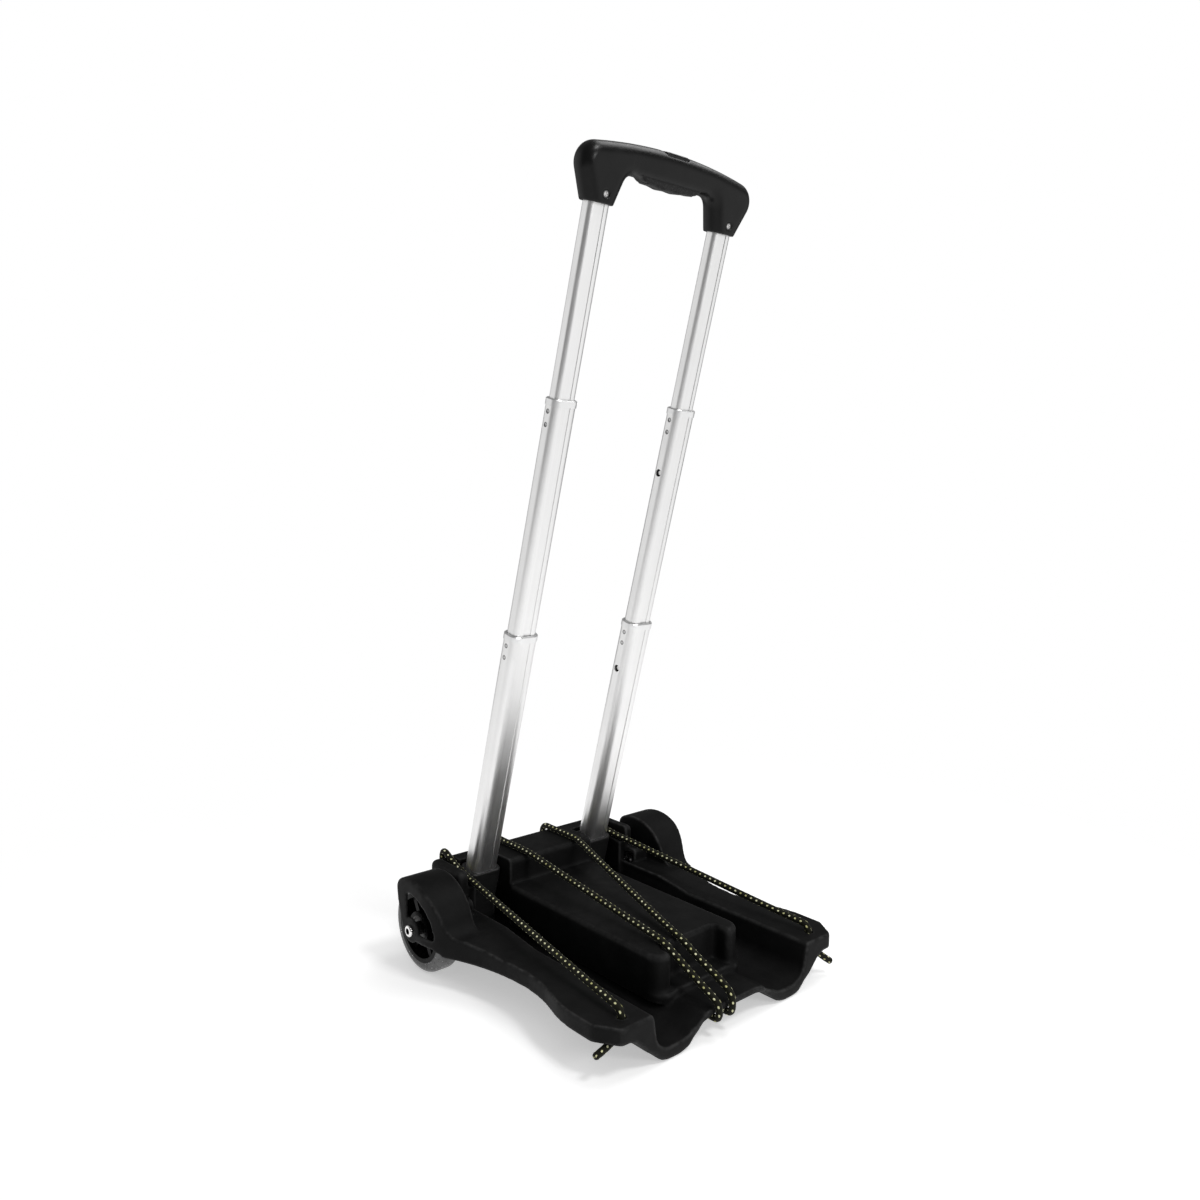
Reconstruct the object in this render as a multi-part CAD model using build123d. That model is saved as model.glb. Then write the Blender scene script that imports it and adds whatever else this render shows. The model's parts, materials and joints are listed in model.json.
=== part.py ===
from build123d import *
import math
import os

os.makedirs("parts", exist_ok=True)

# Folding hand truck, all lengths in mm.
# X runs to the right, -Y is the front (toe) edge, Z is up, the floor is Z = 0.

# Wheels and axles
WHEEL_DIAMETER = 80.0
WHEEL_WIDTH = 22.0
WHEEL_INSET = 20.0
TYRE_DEPTH = 9.0
HUB_BOSS_DIAMETER = 29.0
SPOKE_COUNT = 6
AXLE_DIAMETER = 8.0
AXLE_HEAD_DIAMETER = 10.6
AXLE_HEAD_HEIGHT = 2.4
BEARING_DIAMETER = 22.0
BEARING_WIDTH = 7.0

# Base, sizes in plan
BASE_WIDTH = 310.0
FRONT_REACH = 246.0
REAR_REACH = 42.0
GUIDE_DEPTH = 7.0
FRONT_INSET = 16.5
WAIST_INSET = 29.0
TURN_REACH = 74.0
WAIST_REACH = 119.0
RAMP_REACH = 100.0
CORNER_CHAMFER_X = 13.0
CORNER_CHAMFER_Y = 20.5

# Base, heights
FLOOR_TOP = 10.0
FLOOR_BOTTOM = 5.0
LIP_TOP = 24.0
LIP_BOTTOM = 19.0
SKIRT_BOTTOM = 28.0
DECK_TOP = 42.0
DECK_RISE = 5.0
PLATFORM_TOP = 58.0
REAR_TOP = 82.0

# Base, platform, rear block and wheel housings
FOOT_LENGTH = 42.0
TROUGH_INNER = 16.0
TROUGH_OUTER = 17.0
TROUGH_DRAFT = 6.0
PLATFORM_INSET = 103.0
PLATFORM_SETBACK = 56.0
LOBE_REACH = 16.5
LOBE_CORNER = 13.5
STEP_REACH = 5.0
STEP_HEIGHT = 4.0
REAR_BLOCK_GAP = 9.0
REAR_BLOCK_DEPTH = 50.0
WELL_CLEARANCE = 3.0
FENDER_WALL = 3.5
HOUSING_WIDTH = 38.0
HOUSING_WALL = 3.0
WINDOW_RIM = 6.5
WINDOW_END = 7.0
FENDER_BLEND = 16.0

# Handle frame: spacing, lean and stations measured along the tubes from the hinge
TUBE_INSET = 85.0
LEAN = 15.0
HINGE_BEHIND_AXLE = 25.8
HINGE_HEIGHT = 26.0
HINGE_PIN_DIAMETER = 8.0
BLOCK_WIDTH = 34.0
BLOCK_DEPTH = 24.0
BLOCK_TOP = 51.0
LOWER_TOP = 289.0
MIDDLE_TOP = 495.0
HANDLE_BOTTOM = 646.5
LOWER_PIN_DROP = 49.0
UPPER_PIN_DROP = 60.0
PLUG_LENGTH = 20.0
ROD_START = 13.0

# Handle frame: tube sections
TUBE_WALL = 1.4
TUBE_GAP = 0.5
UPPER_WIDTH = 21.0
UPPER_DEPTH = 12.4
UPPER_CORNER = 4.2
FLUTE_WIDTH = 8.0
FLUTE_DEPTH = 0.5
COLLAR_FLANGE = 3.0
COLLAR_LIP = 0.7
PIN_DIAMETER = 5.0

# Handle
HANDLE_OVERHANG = 32.0
HANDLE_DEPTH = 22.0
HANDLE_HEIGHT = 50.0
HANDLE_ARCH = 10.6
HANDLE_SHOULDER = 16.0
HANDLE_ROUND = 10.0
GRIP_THICKNESS = 25.0
GRIP_BELLY = 3.2
FINGER_RADIUS = 9.0
GRIP_EDGE = 2.5
LEG_WIDTH = 27.5
BUTTON_LENGTH = 31.0
BUTTON_WIDTH = 16.0
BUTTON_CORNER = 7.2
BUTTON_CAP = 3.6
BUTTON_TRAVEL = 4.0

# Cord
CORD_DIAMETER = 6.0
CORD_HOLE_INSET = 41.5
CORD_HOLE_SETBACK = 14.5
GUIDE_INSET = 94.5
GUIDE_HEIGHT = 62.0
GUIDE_RADIUS = 27.2
NOTCH_FLOOR = 70.5

# Sizes that follow from those above
TOTAL_DEPTH = FRONT_REACH + REAR_REACH + GUIDE_DEPTH
FRONT_Y = -TOTAL_DEPTH / 2
AXLE_Y = FRONT_Y + FRONT_REACH
REAR_Y = AXLE_Y + REAR_REACH
AXLE_Z = WHEEL_DIAMETER / 2
WINDOW_RADIUS = WHEEL_DIAMETER / 2 - WINDOW_RIM
WELL_RADIUS = WHEEL_DIAMETER / 2 + WELL_CLEARANCE
FENDER_RADIUS = WELL_RADIUS + FENDER_WALL
HALF_WIDTH = BASE_WIDTH / 2
FRONT_HALF = HALF_WIDTH - FRONT_INSET
WAIST_HALF = HALF_WIDTH - WAIST_INSET
TUBE_X = HALF_WIDTH - TUBE_INSET
WHEEL_X = HALF_WIDTH - WHEEL_INSET
GUIDE_X = HALF_WIDTH - GUIDE_INSET
CORD_HOLE_X = HALF_WIDTH - CORD_HOLE_INSET
HOUSING_INNER = HALF_WIDTH - HOUSING_WIDTH
WELL_INNER = HOUSING_INNER + 4.0
WELL_OUTER = HALF_WIDTH - HOUSING_WALL
HINGE_Y = AXLE_Y + HINGE_BEHIND_AXLE
HINGE_Z = HINGE_HEIGHT
SLOT_HALF = BLOCK_WIDTH / 2 + 2.5
DECK_EDGE = TUBE_X + TROUGH_OUTER + TROUGH_DRAFT
PLATFORM_HALF = HALF_WIDTH - PLATFORM_INSET
PLATFORM_FRONT = FRONT_Y + PLATFORM_SETBACK
LOBE_FRONT = PLATFORM_FRONT - LOBE_REACH
REAR_BLOCK_HALF = HOUSING_INNER - REAR_BLOCK_GAP
CORD_SWING = GUIDE_RADIUS + CORD_DIAMETER / 2 + 0.3
STRAND_X = GUIDE_X - CORD_SWING
NOTCH_HALF = STRAND_X + 3.8
REAR_BLOCK_FRONT = REAR_Y - REAR_BLOCK_DEPTH
HANDLE_FRAME = Pos(0, HINGE_Y, HINGE_Z) * Rot(LEAN, 0, 0)

STEP_UP = 2 * (TUBE_WALL + TUBE_GAP)
MIDDLE_WIDTH = UPPER_WIDTH + STEP_UP
MIDDLE_DEPTH = UPPER_DEPTH + STEP_UP
MIDDLE_CORNER = UPPER_CORNER + STEP_UP / 2
LOWER_WIDTH = MIDDLE_WIDTH + STEP_UP
LOWER_DEPTH = MIDDLE_DEPTH + STEP_UP
LOWER_CORNER = MIDDLE_CORNER + STEP_UP / 2

LOWER_PIN = LOWER_TOP - LOWER_PIN_DROP
UPPER_PIN = MIDDLE_TOP - UPPER_PIN_DROP
HANDLE_TOP = HANDLE_BOTTOM + HANDLE_HEIGHT
GRIP_BOTTOM = HANDLE_TOP - GRIP_THICKNESS
SOCKET_TOP = GRIP_BOTTOM + 1.0
CHANNEL_LOW = GRIP_BOTTOM + 4.6
CHANNEL_HIGH = GRIP_BOTTOM + 14.0
BUTTON_FLOOR = HANDLE_TOP - 8.5
SCREW_STATION = HANDLE_BOTTOM + 7.2


def save(name, *solids):
    """Write one node, made of one solid or of several equal ones."""
    shape = solids[0] if len(solids) == 1 else Compound(list(solids))
    export_step(shape, f"parts/{name}.step")


def along_x(sketch, x0, x1):
    """Extrude a sketch drawn in (Y, Z) from x0 to x1."""
    plane = Plane(origin=(x0, 0, 0), x_dir=(0, 1, 0), z_dir=(1, 0, 0))
    return extrude(plane * sketch, amount=x1 - x0)


def along_y(sketch, y0, y1):
    """Extrude a sketch drawn in (X, Z) from y0 to y1."""
    plane = Plane(origin=(0, y1, 0), x_dir=(1, 0, 0), z_dir=(0, -1, 0))
    return extrude(plane * sketch, amount=y1 - y0)


def along_z(sketch, z0, z1):
    """Extrude a sketch drawn in (X, Y) from z0 to z1."""
    return extrude(Pos(0, 0, z0) * sketch, amount=z1 - z0)


def block(x0, x1, y0, y1, z0, z1):
    """Plain box between two corners."""
    middle = Pos((x0 + x1) / 2, (y0 + y1) / 2, (z0 + z1) / 2)
    return middle * Box(x1 - x0, y1 - y0, z1 - z0)


def rod_x(x0, x1, y, z, radius):
    """Round bar along X."""
    return along_x(Pos(y, z) * Circle(radius), x0, x1)


def polygon(points, radii=None):
    """Closed face through the points, with a corner radius for each."""
    if radii is None:
        return make_face(Polyline(*points, close=True))
    return make_face(FilletPolyline(*points, radius=radii, close=True))


def both_sides(solid):
    """The solid and its mirror image across the middle plane."""
    return solid, mirror(solid, about=Plane.YZ)


def plan_outline():
    """Hourglass outline of the base seen from above."""
    flare_end = AXLE_Y - 8.0
    blend = FRONT_HALF - 0.45 * (FRONT_HALF - WAIST_HALF)
    edge = Polyline(
        (0, FRONT_Y),
        (FRONT_HALF - CORNER_CHAMFER_X, FRONT_Y),
        (FRONT_HALF, FRONT_Y + CORNER_CHAMFER_Y),
        (FRONT_HALF, FRONT_Y + 2 * CORNER_CHAMFER_Y),
    )
    turn_in = TangentArc(edge @ 1, (blend, FRONT_Y + TURN_REACH), tangent=edge % 1)
    waist = TangentArc(turn_in @ 1, (WAIST_HALF, FRONT_Y + WAIST_REACH), tangent=turn_in % 1)
    turn_out = TangentArc(waist @ 1, (HALF_WIDTH - 7.5, AXLE_Y - 45.0), tangent=waist % 1)
    flare = TangentArc(turn_out @ 1, (HALF_WIDTH, flare_end), tangent=turn_out % 1)
    back = Polyline((HALF_WIDTH, flare_end), (HALF_WIDTH, REAR_Y), (0, REAR_Y), (0, FRONT_Y))
    half = make_face([*edge.edges(), turn_in, waist, turn_out, flare, *back.edges()])
    half = fillet(half.vertices().sort_by_distance((FRONT_HALF, FRONT_Y))[:2], 5.0)
    return half + mirror(half, about=Plane.YZ)


def wave_section():
    """Cross section of the tray: corner blocks, tube troughs and centre lip."""
    trough_in = TUBE_X - TROUGH_INNER
    trough_out = TUBE_X + TROUGH_OUTER
    upper = [
        (trough_in - 18, LIP_TOP, 6),
        (trough_in - 8, LIP_TOP - 7, 5),
        (trough_in, FLOOR_TOP, 6),
        (trough_out, FLOOR_TOP, 9),
        (DECK_EDGE, DECK_TOP, 3),
        (BASE_WIDTH, DECK_TOP, 0),
    ]
    lower = [
        (BASE_WIDTH, SKIRT_BOTTOM, 0),
        (trough_out + 25, SKIRT_BOTTOM, 18),
        (trough_out - 1.5, 0, 16),
        (trough_in - 1.5, 0, 7),
        (trough_in - 15, LIP_BOTTOM, 8),
    ]
    right = upper + lower
    left = [(-x, z, r) for x, z, r in reversed(right)]
    ring = upper + lower + left[: len(lower)] + left[len(lower):]
    return polygon([(x, z) for x, z, r in ring], [r for x, z, r in ring])


def tray(outline):
    """Front tray and side rails, trimmed to the outline."""
    body = along_y(wave_section(), FRONT_Y, REAR_Y)
    ramp = polygon(
        [
            (AXLE_Y - RAMP_REACH, DECK_TOP - 2),
            (AXLE_Y - RAMP_REACH, DECK_TOP),
            (AXLE_Y - FENDER_RADIUS - FENDER_BLEND, DECK_TOP + DECK_RISE),
            (AXLE_Y + 20, DECK_TOP + DECK_RISE),
            (AXLE_Y + 20, DECK_TOP - 2),
        ]
    )
    for side in both_sides(along_x(ramp, DECK_EDGE, BASE_WIDTH)):
        body += side
    body &= along_z(outline, -1, PLATFORM_TOP)
    relief = polygon(
        [
            (FRONT_Y + FOOT_LENGTH, -1),
            (FRONT_Y + FOOT_LENGTH + 8, FLOOR_BOTTOM),
            (REAR_Y + 1, FLOOR_BOTTOM),
            (REAR_Y + 1, -1),
        ]
    )
    body -= along_x(relief, -BASE_WIDTH, BASE_WIDTH)
    beside = block(WELL_INNER, BASE_WIDTH, AXLE_Y - WELL_RADIUS, REAR_Y + 1, -1, PLATFORM_TOP)
    for side in both_sides(beside):
        body -= side
    return body


def platform():
    """Raised load platform between the troughs: two front lobes, a cord notch and a low step."""
    back = REAR_BLOCK_FRONT + 2
    right = [
        (NOTCH_HALF, PLATFORM_FRONT, 5),
        (NOTCH_HALF, LOBE_FRONT, 4.6),
        (PLATFORM_HALF, LOBE_FRONT, LOBE_CORNER),
        (PLATFORM_HALF, back, 0),
    ]
    left = [(-x, y, r) for x, y, r in reversed(right)]
    ring = right + left
    plan = polygon([(x, y) for x, y, r in ring], [r for x, y, r in ring])
    body = along_z(plan, LIP_BOTTOM, PLATFORM_TOP)
    top = body.faces().sort_by(Axis.Z)[-1]
    rim = [e for e in top.edges() if e.center().Y < REAR_BLOCK_FRONT]
    body = fillet(rim, 4.5)
    step_front = LOBE_FRONT - STEP_REACH
    corners = [
        (-PLATFORM_HALF, back, 0),
        (-PLATFORM_HALF, step_front, LOBE_CORNER + 2),
        (PLATFORM_HALF, step_front, LOBE_CORNER + 2),
        (PLATFORM_HALF, back, 0),
    ]
    step = along_z(
        polygon([(x, y) for x, y, r in corners], [r for x, y, r in corners]),
        LIP_BOTTOM,
        LIP_TOP + STEP_HEIGHT,
    )
    nose = [e for e in step.faces().sort_by(Axis.Z)[-1].edges() if e.center().Y < LOBE_FRONT]
    return body + fillet(nose, STEP_HEIGHT - 0.6)


def rear_block():
    """Upright block at the back that carries the hinges and the cord guides."""
    body = block(-REAR_BLOCK_HALF, REAR_BLOCK_HALF, REAR_BLOCK_FRONT, REAR_Y, LIP_BOTTOM, REAR_TOP)
    body = fillet(body.edges().filter_by(Axis.Z), 5.0)
    body = fillet(body.faces().sort_by(Axis.Z)[-1].edges(), 5.0)
    disc = Pos(0, GUIDE_HEIGHT) * Circle(GUIDE_RADIUS)
    cap = Pos(0, GUIDE_HEIGHT + GUIDE_RADIUS / 2 + 8) * Rectangle(2 * GUIDE_RADIUS, GUIDE_RADIUS)
    guide = along_y(disc - cap, REAR_Y - 1, REAR_Y + GUIDE_DEPTH)
    guide = fillet(guide.faces().sort_by(Axis.Y)[-1].edges(), 1.5)
    for side in (-1, 1):
        body += Pos(side * GUIDE_X, 0, 0) * guide
    filler = block(REAR_BLOCK_HALF - 8, HOUSING_INNER + 2, AXLE_Y - 20, REAR_Y - 4, SKIRT_BOTTOM, 60)
    filler = fillet(filler.edges().filter_by(Axis.X), 5.0)
    for side in both_sides(filler):
        body += side
    return body


def fender_blend():
    """Hollow curve between the front of the fender and the rail, in (Y, Z)."""
    rail_top = DECK_TOP + DECK_RISE
    lift = rail_top + FENDER_BLEND - AXLE_Z
    reach = math.sqrt((FENDER_RADIUS + FENDER_BLEND) ** 2 - lift**2)
    share = FENDER_RADIUS / (FENDER_RADIUS + FENDER_BLEND)
    foot = AXLE_Y - reach
    touch_y = AXLE_Y - reach * share
    corners = [
        (foot, rail_top - 4),
        (foot, rail_top + FENDER_BLEND),
        (touch_y, AXLE_Z + lift * share),
        (touch_y + 3, rail_top - 4),
    ]
    return polygon(corners) - Pos(foot, rail_top + FENDER_BLEND) * Circle(FENDER_BLEND)


def wheel_housing(outline):
    """Fender, blended into the rail, and outer wall of the right-hand wheel housing."""
    hub = Pos(AXLE_Y, AXLE_Z)
    reach = FENDER_RADIUS
    rail_front = AXLE_Y - 1.3 * reach
    crown = AXLE_Z + 1.3 * reach
    keep = polygon(
        [
            (rail_front, SKIRT_BOTTOM),
            (AXLE_Y - 0.95 * reach, SKIRT_BOTTOM),
            (AXLE_Y - 0.69 * reach, AXLE_Z - 0.16 * reach),
            (AXLE_Y + 0.04 * reach, AXLE_Z - 0.16 * reach),
            (AXLE_Y + 0.26 * reach, AXLE_Z - 0.09 * reach),
            (AXLE_Y + 0.5 * reach, AXLE_Z + 0.67 * reach),
            (AXLE_Y + 0.54 * reach, crown),
            (rail_front, crown),
        ],
        [0, 4, 4, 0, 0, 0, 0, 0],
    )
    lower = Pos(AXLE_Y - FENDER_RADIUS / 2, AXLE_Z / 2) * Rectangle(FENDER_RADIUS, AXLE_Z)
    profile = (hub * Circle(FENDER_RADIUS) + lower) & keep
    profile = fillet(profile.vertices().group_by(Axis.Y)[-1], 0.19 * reach)
    body = along_x(profile + hub * Circle(11.0), HOUSING_INNER, HALF_WIDTH)
    outer = body.faces().sort_by(Axis.X)[-1]
    rim = [e for e in outer.edges() if e.center().Z > AXLE_Z + 0.5 * reach]
    body = fillet(rim, 3.0)
    body += along_x(fender_blend(), HOUSING_INNER, HALF_WIDTH - 3.0)
    body &= along_z(outline, 0, 2 * REAR_TOP)
    return body


def wheel_well(outline):
    """Room for the right-hand wheel, with the window in the outer wall."""
    hub = Pos(AXLE_Y, AXLE_Z)
    well = rod_x(WELL_INNER, WELL_OUTER, AXLE_Y, AXLE_Z, WELL_RADIUS)
    well += block(WELL_INNER, WELL_OUTER, AXLE_Y - WELL_RADIUS, REAR_Y + 20, -1, AXLE_Z)
    well += block(WELL_INNER, WELL_OUTER, AXLE_Y + 24, REAR_Y + 20, -1, AXLE_Z + WELL_RADIUS)
    well &= Pos(-HOUSING_WALL, 0, 0) * along_z(outline, -1, 2 * REAR_TOP)
    low = AXLE_Z + 0.5
    span = WINDOW_RADIUS + WINDOW_END
    upper = Pos(AXLE_Y + WINDOW_END - span / 2, low + span / 2) * Rectangle(span, span)
    window = ((hub * Circle(WINDOW_RADIUS)) & upper) - hub * Circle(12.0)
    window = fillet(window.vertices(), 2.5)
    well += along_x(window, WHEEL_X + WHEEL_WIDTH / 2, HALF_WIDTH + 1)
    well += rod_x(HOUSING_INNER - 1, HALF_WIDTH + 1, AXLE_Y, AXLE_Z, AXLE_DIAMETER / 2 + 0.03)
    return well


def cord_notch():
    """Groove that leads the cord up over the right-hand end of the rear block."""
    dip = REAR_BLOCK_FRONT + REAR_BLOCK_DEPTH / 2
    groove = polygon(
        [
            (REAR_BLOCK_FRONT - 1, NOTCH_FLOOR - 3),
            (dip, NOTCH_FLOOR),
            (REAR_Y + 1, REAR_TOP + 0.5),
            (REAR_BLOCK_FRONT - 1, REAR_TOP + 0.5),
        ]
    )
    x = GUIDE_X + CORD_SWING
    return along_x(groove, x - 4.5, x + 7)


def hinge_slot():
    """Slot for the right-hand hinge block, upright against its leaning back wall or folded."""
    tilt = math.radians(LEAN)
    back = (BLOCK_DEPTH / 2 + 0.3) / math.cos(tilt)
    high = REAR_TOP + 1
    slot = polygon(
        [
            (REAR_BLOCK_FRONT - 1, FLOOR_TOP),
            (HINGE_Y + back, FLOOR_TOP),
            (HINGE_Y + back, HINGE_Z),
            (HINGE_Y + back - (high - HINGE_Z) * math.tan(tilt), high),
            (REAR_BLOCK_FRONT - 1, high),
        ]
    )
    inner = TUBE_X - SLOT_HALF
    outer = TUBE_X + SLOT_HALF
    cut = along_x(slot, inner, outer)
    fold_front = HINGE_Y - BLOCK_TOP - 2.5
    bay = block(TUBE_X - 8, outer, fold_front, REAR_BLOCK_FRONT + 10, FLOOR_TOP, high)
    cut += fillet(bay.edges().filter_by(Axis.Z), 5.0)
    cut += rod_x(inner - 6, outer + 8, HINGE_Y, HINGE_Z, HINGE_PIN_DIAMETER / 2 + 0.02)
    cut += block(outer + 7, HOUSING_INNER, AXLE_Y - 16, REAR_Y - 7, -1, AXLE_Z + 16)
    return cut


def cord_pocket():
    """Hole for the cord in the right-hand corner block and the pocket under it."""
    spot = Pos(CORD_HOLE_X, FRONT_Y + CORD_HOLE_SETBACK)
    hole = along_z(spot * Circle(CORD_DIAMETER / 2 + 0.6), SKIRT_BOTTOM, DECK_TOP + 1)
    return hole + along_z(spot * Pos(3.7, 0) * SlotOverall(24.4, 17), 0, DECK_TOP - 7)


def base_shell():
    """The whole moulded base as one hollow-walled piece."""
    outline = plan_outline()
    body = tray(outline) + platform() + rear_block()
    for side in both_sides(wheel_housing(outline)):
        body += side
    for cut in (wheel_well(outline), hinge_slot(), cord_notch(), cord_pocket()):
        for side in both_sides(cut):
            body -= side
    inside = PLATFORM_HALF - 8
    front = PLATFORM_FRONT + 14
    back = REAR_BLOCK_FRONT + 6
    return body - block(-inside, inside, front, back, LIP_BOTTOM + 4, PLATFORM_TOP - 4)


def hub():
    """Spoked wheel hub about the X axis, its bearing seats open to both sides."""
    half = WHEEL_WIDTH / 2
    rim_outer = WHEEL_DIAMETER / 2 - TYRE_DEPTH
    body = rod_x(-half, half, 0, 0, rim_outer) - rod_x(-half - 1, half + 1, 0, 0, rim_outer - 4)
    body += rod_x(-half, half, 0, 0, HUB_BOSS_DIAMETER / 2)
    for i in range(SPOKE_COUNT):
        spoke = block(-half + 4, half - 4, HUB_BOSS_DIAMETER / 2 - 1, rim_outer - 3, -2.5, 2.5)
        body += Rot(360 / SPOKE_COUNT * i, 0, 0) * spoke
    for side in (-1, 1):
        seat = sorted((side * (half + 1), side * (half - BEARING_WIDTH)))
        body -= rod_x(seat[0], seat[1], 0, 0, BEARING_DIAMETER / 2 + 0.02)
    return body - rod_x(-half, half, 0, 0, BEARING_DIAMETER / 2 - 3)


def tyre():
    """Solid tyre about the X axis, its shoulders rounded."""
    half = WHEEL_WIDTH / 2
    inner = WHEEL_DIAMETER / 2 - TYRE_DEPTH
    outer = WHEEL_DIAMETER / 2
    section = polygon([(-half, inner), (half, inner), (half, outer), (-half, outer)], [0, 0, 6, 6])
    return revolve(Plane.XZ * section, Axis.X)


def bearing():
    """Ball bearing as one ring with a shield groove on each face."""
    half = BEARING_WIDTH / 2
    ring = rod_x(-half, half, 0, 0, BEARING_DIAMETER / 2)
    ring -= rod_x(-half - 1, half + 1, 0, 0, AXLE_DIAMETER / 2 + 0.06)
    for side in (-1, 1):
        face = sorted((side * half, side * (half - 0.6)))
        groove = rod_x(face[0], face[1], 0, 0, BEARING_DIAMETER / 2 - 1.8)
        ring -= groove - rod_x(face[0], face[1], 0, 0, AXLE_DIAMETER / 2 + 2)
    return ring


def wheel(side, word):
    """All pieces of one wheel."""
    place = Pos(side * WHEEL_X, AXLE_Y, AXLE_Z)
    reach = WHEEL_WIDTH / 2 - BEARING_WIDTH / 2
    gap = WHEEL_WIDTH / 2 - BEARING_WIDTH
    save(f"tyre_{word}", place * tyre())
    save(f"hub_{word}", place * hub())
    pair = [place * Pos(x, 0, 0) * bearing() for x in (-reach, reach)]
    save(f"bearings_{word}", *pair)
    tube = rod_x(-gap, gap, 0, 0, 6) - rod_x(-gap, gap, 0, 0, AXLE_DIAMETER / 2 + 0.06)
    save(f"bearing_spacer_{word}", place * tube)


def axle_bolt():
    """Right-hand axle bolt with a low round socket head outside the housing."""
    top = HALF_WIDTH + AXLE_HEAD_HEIGHT
    bolt = rod_x(HOUSING_INNER - 8, HALF_WIDTH, AXLE_Y, AXLE_Z, AXLE_DIAMETER / 2)
    head = rod_x(HALF_WIDTH, top, AXLE_Y, AXLE_Z, AXLE_HEAD_DIAMETER / 2)
    head = fillet(head.faces().sort_by(Axis.X)[-1].edges(), 1.6)
    socket = Pos(AXLE_Y, AXLE_Z) * RegularPolygon(2.9, 6)
    return bolt + head - along_x(socket, top - 1.8, top + 1)


def axle_nut():
    """Lock nut on the inner end of the right-hand axle bolt."""
    nut = along_x(Pos(AXLE_Y, AXLE_Z) * RegularPolygon(7.5, 6), HOUSING_INNER - 7, HOUSING_INNER)
    return nut - rod_x(HOUSING_INNER - 9, HOUSING_INNER + 1, AXLE_Y, AXLE_Z, AXLE_DIAMETER / 2 + 0.02)


def spacer(x0, x1):
    """Ring on the axle between a bearing and a housing wall."""
    ring = rod_x(x0, x1, AXLE_Y, AXLE_Z, AXLE_DIAMETER / 2 + 2)
    return ring - rod_x(x0 - 1, x1 + 1, AXLE_Y, AXLE_Z, AXLE_DIAMETER / 2 + 0.02)


def hinge_pin():
    """Right-hand hinge pin, its head in the hollow beside the slot."""
    end = TUBE_X + SLOT_HALF + 7
    pin = rod_x(TUBE_X - SLOT_HALF - 5, end, HINGE_Y, HINGE_Z, HINGE_PIN_DIAMETER / 2)
    return pin + rod_x(end, end + 2.5, HINGE_Y, HINGE_Z, HINGE_PIN_DIAMETER / 2 + 2)


def hinge_washers():
    """The two washers beside the right-hand hinge block."""
    rings = []
    for side in (-1, 1):
        ends = sorted((TUBE_X + side * SLOT_HALF, TUBE_X + side * (BLOCK_WIDTH / 2 + 0.3)))
        ring = rod_x(ends[0], ends[1], HINGE_Y, HINGE_Z, 8)
        rings.append(ring - rod_x(ends[0], ends[1], HINGE_Y, HINGE_Z, HINGE_PIN_DIAMETER / 2 + 0.02))
    return rings


def rounded_path(points, radii):
    """Straight runs joined by tangent arcs at the inner points."""
    corners = [Vector(*p) for p in points]
    edges = []
    start = corners[0]
    for i in range(1, len(corners) - 1):
        into = (corners[i] - corners[i - 1]).normalized()
        away = (corners[i + 1] - corners[i]).normalized()
        turn = math.acos(max(-1.0, min(1.0, into.dot(away))))
        reach = radii[i - 1] * math.tan(turn / 2)
        first = corners[i] - into * reach
        last = corners[i] + away * reach
        bisector = (away - into).normalized()
        middle = corners[i] + bisector * radii[i - 1] * (1 / math.cos(turn / 2) - 1)
        edges.append(Line(start, first))
        edges.append(ThreePointArc(first, middle, last))
        start = last
    edges.append(Line(start, corners[-1]))
    return edges


def cord_route():
    """Corner points and bend radii of the bungee cord, from left end to right end."""
    rest = CORD_DIAMETER / 2 + 0.3
    hole_y = FRONT_Y + CORD_HOLE_SETBACK
    top = REAR_TOP + rest
    back = REAR_Y + rest
    dip = REAR_BLOCK_FRONT + REAR_BLOCK_DEPTH / 2
    low = GUIDE_HEIGHT - CORD_SWING
    out_x = GUIDE_X + CORD_SWING
    edge = PLATFORM_FRONT + 3
    lip = FRONT_Y - rest
    under = LIP_BOTTOM - rest
    tuck = FRONT_Y + 20
    left_end = [(-CORD_HOLE_X - 27.5, hole_y - 1.5, 21.3, 0), (-CORD_HOLE_X, hole_y, 28, 4)]
    right_end = [(CORD_HOLE_X, hole_y, 28, 4), (CORD_HOLE_X + 20.5, hole_y - 10, 11.5, 0)]
    side = [
        (-CORD_HOLE_X, hole_y, DECK_TOP + 4, 5),
        (-out_x, dip - 1, NOTCH_FLOOR + rest, 25),
        (-out_x, back, top + 3, 5),
        (-out_x, back, low, CORD_SWING - 0.05),
        (-STRAND_X, back, low, CORD_SWING - 0.05),
        (-STRAND_X, back, top, 8),
        (-STRAND_X, REAR_BLOCK_FRONT + 2, top, 30),
    ]
    hook = [
        (-STRAND_X, edge, PLATFORM_TOP + rest, 14),
        (-25, lip, LIP_TOP + 4, 5),
        (-25, lip, under, 4),
        (-25, tuck, under, 6),
        (-9.5, tuck, under, 6),
        (-9.5, lip, under, 4),
        (-9.5, lip, LIP_TOP + 10, 5),
        (-12, edge, PLATFORM_TOP + rest, 14),
    ]
    other_side = [(-x, y, z, r) for x, y, z, r in reversed(side)]
    return left_end + side + hook + other_side + right_end


def bungee_cord():
    """The cord as one round bar along its route."""
    route = cord_route()
    edges = rounded_path([p[:3] for p in route], [p[3] for p in route[1:-1]])
    path = Wire(edges)
    plane = Plane(origin=path @ 0, z_dir=path % 0)
    return sweep(plane * Circle(CORD_DIAMETER / 2), path=path)


def cord_stop():
    """Ring crimped on the cord inside the right-hand corner block."""
    spot = Pos(CORD_HOLE_X, FRONT_Y + CORD_HOLE_SETBACK)
    ring = Circle(5.4) - Circle(CORD_DIAMETER / 2 + 0.05)
    return along_z(spot * ring, DECK_TOP - 10, DECK_TOP - 7)


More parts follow.
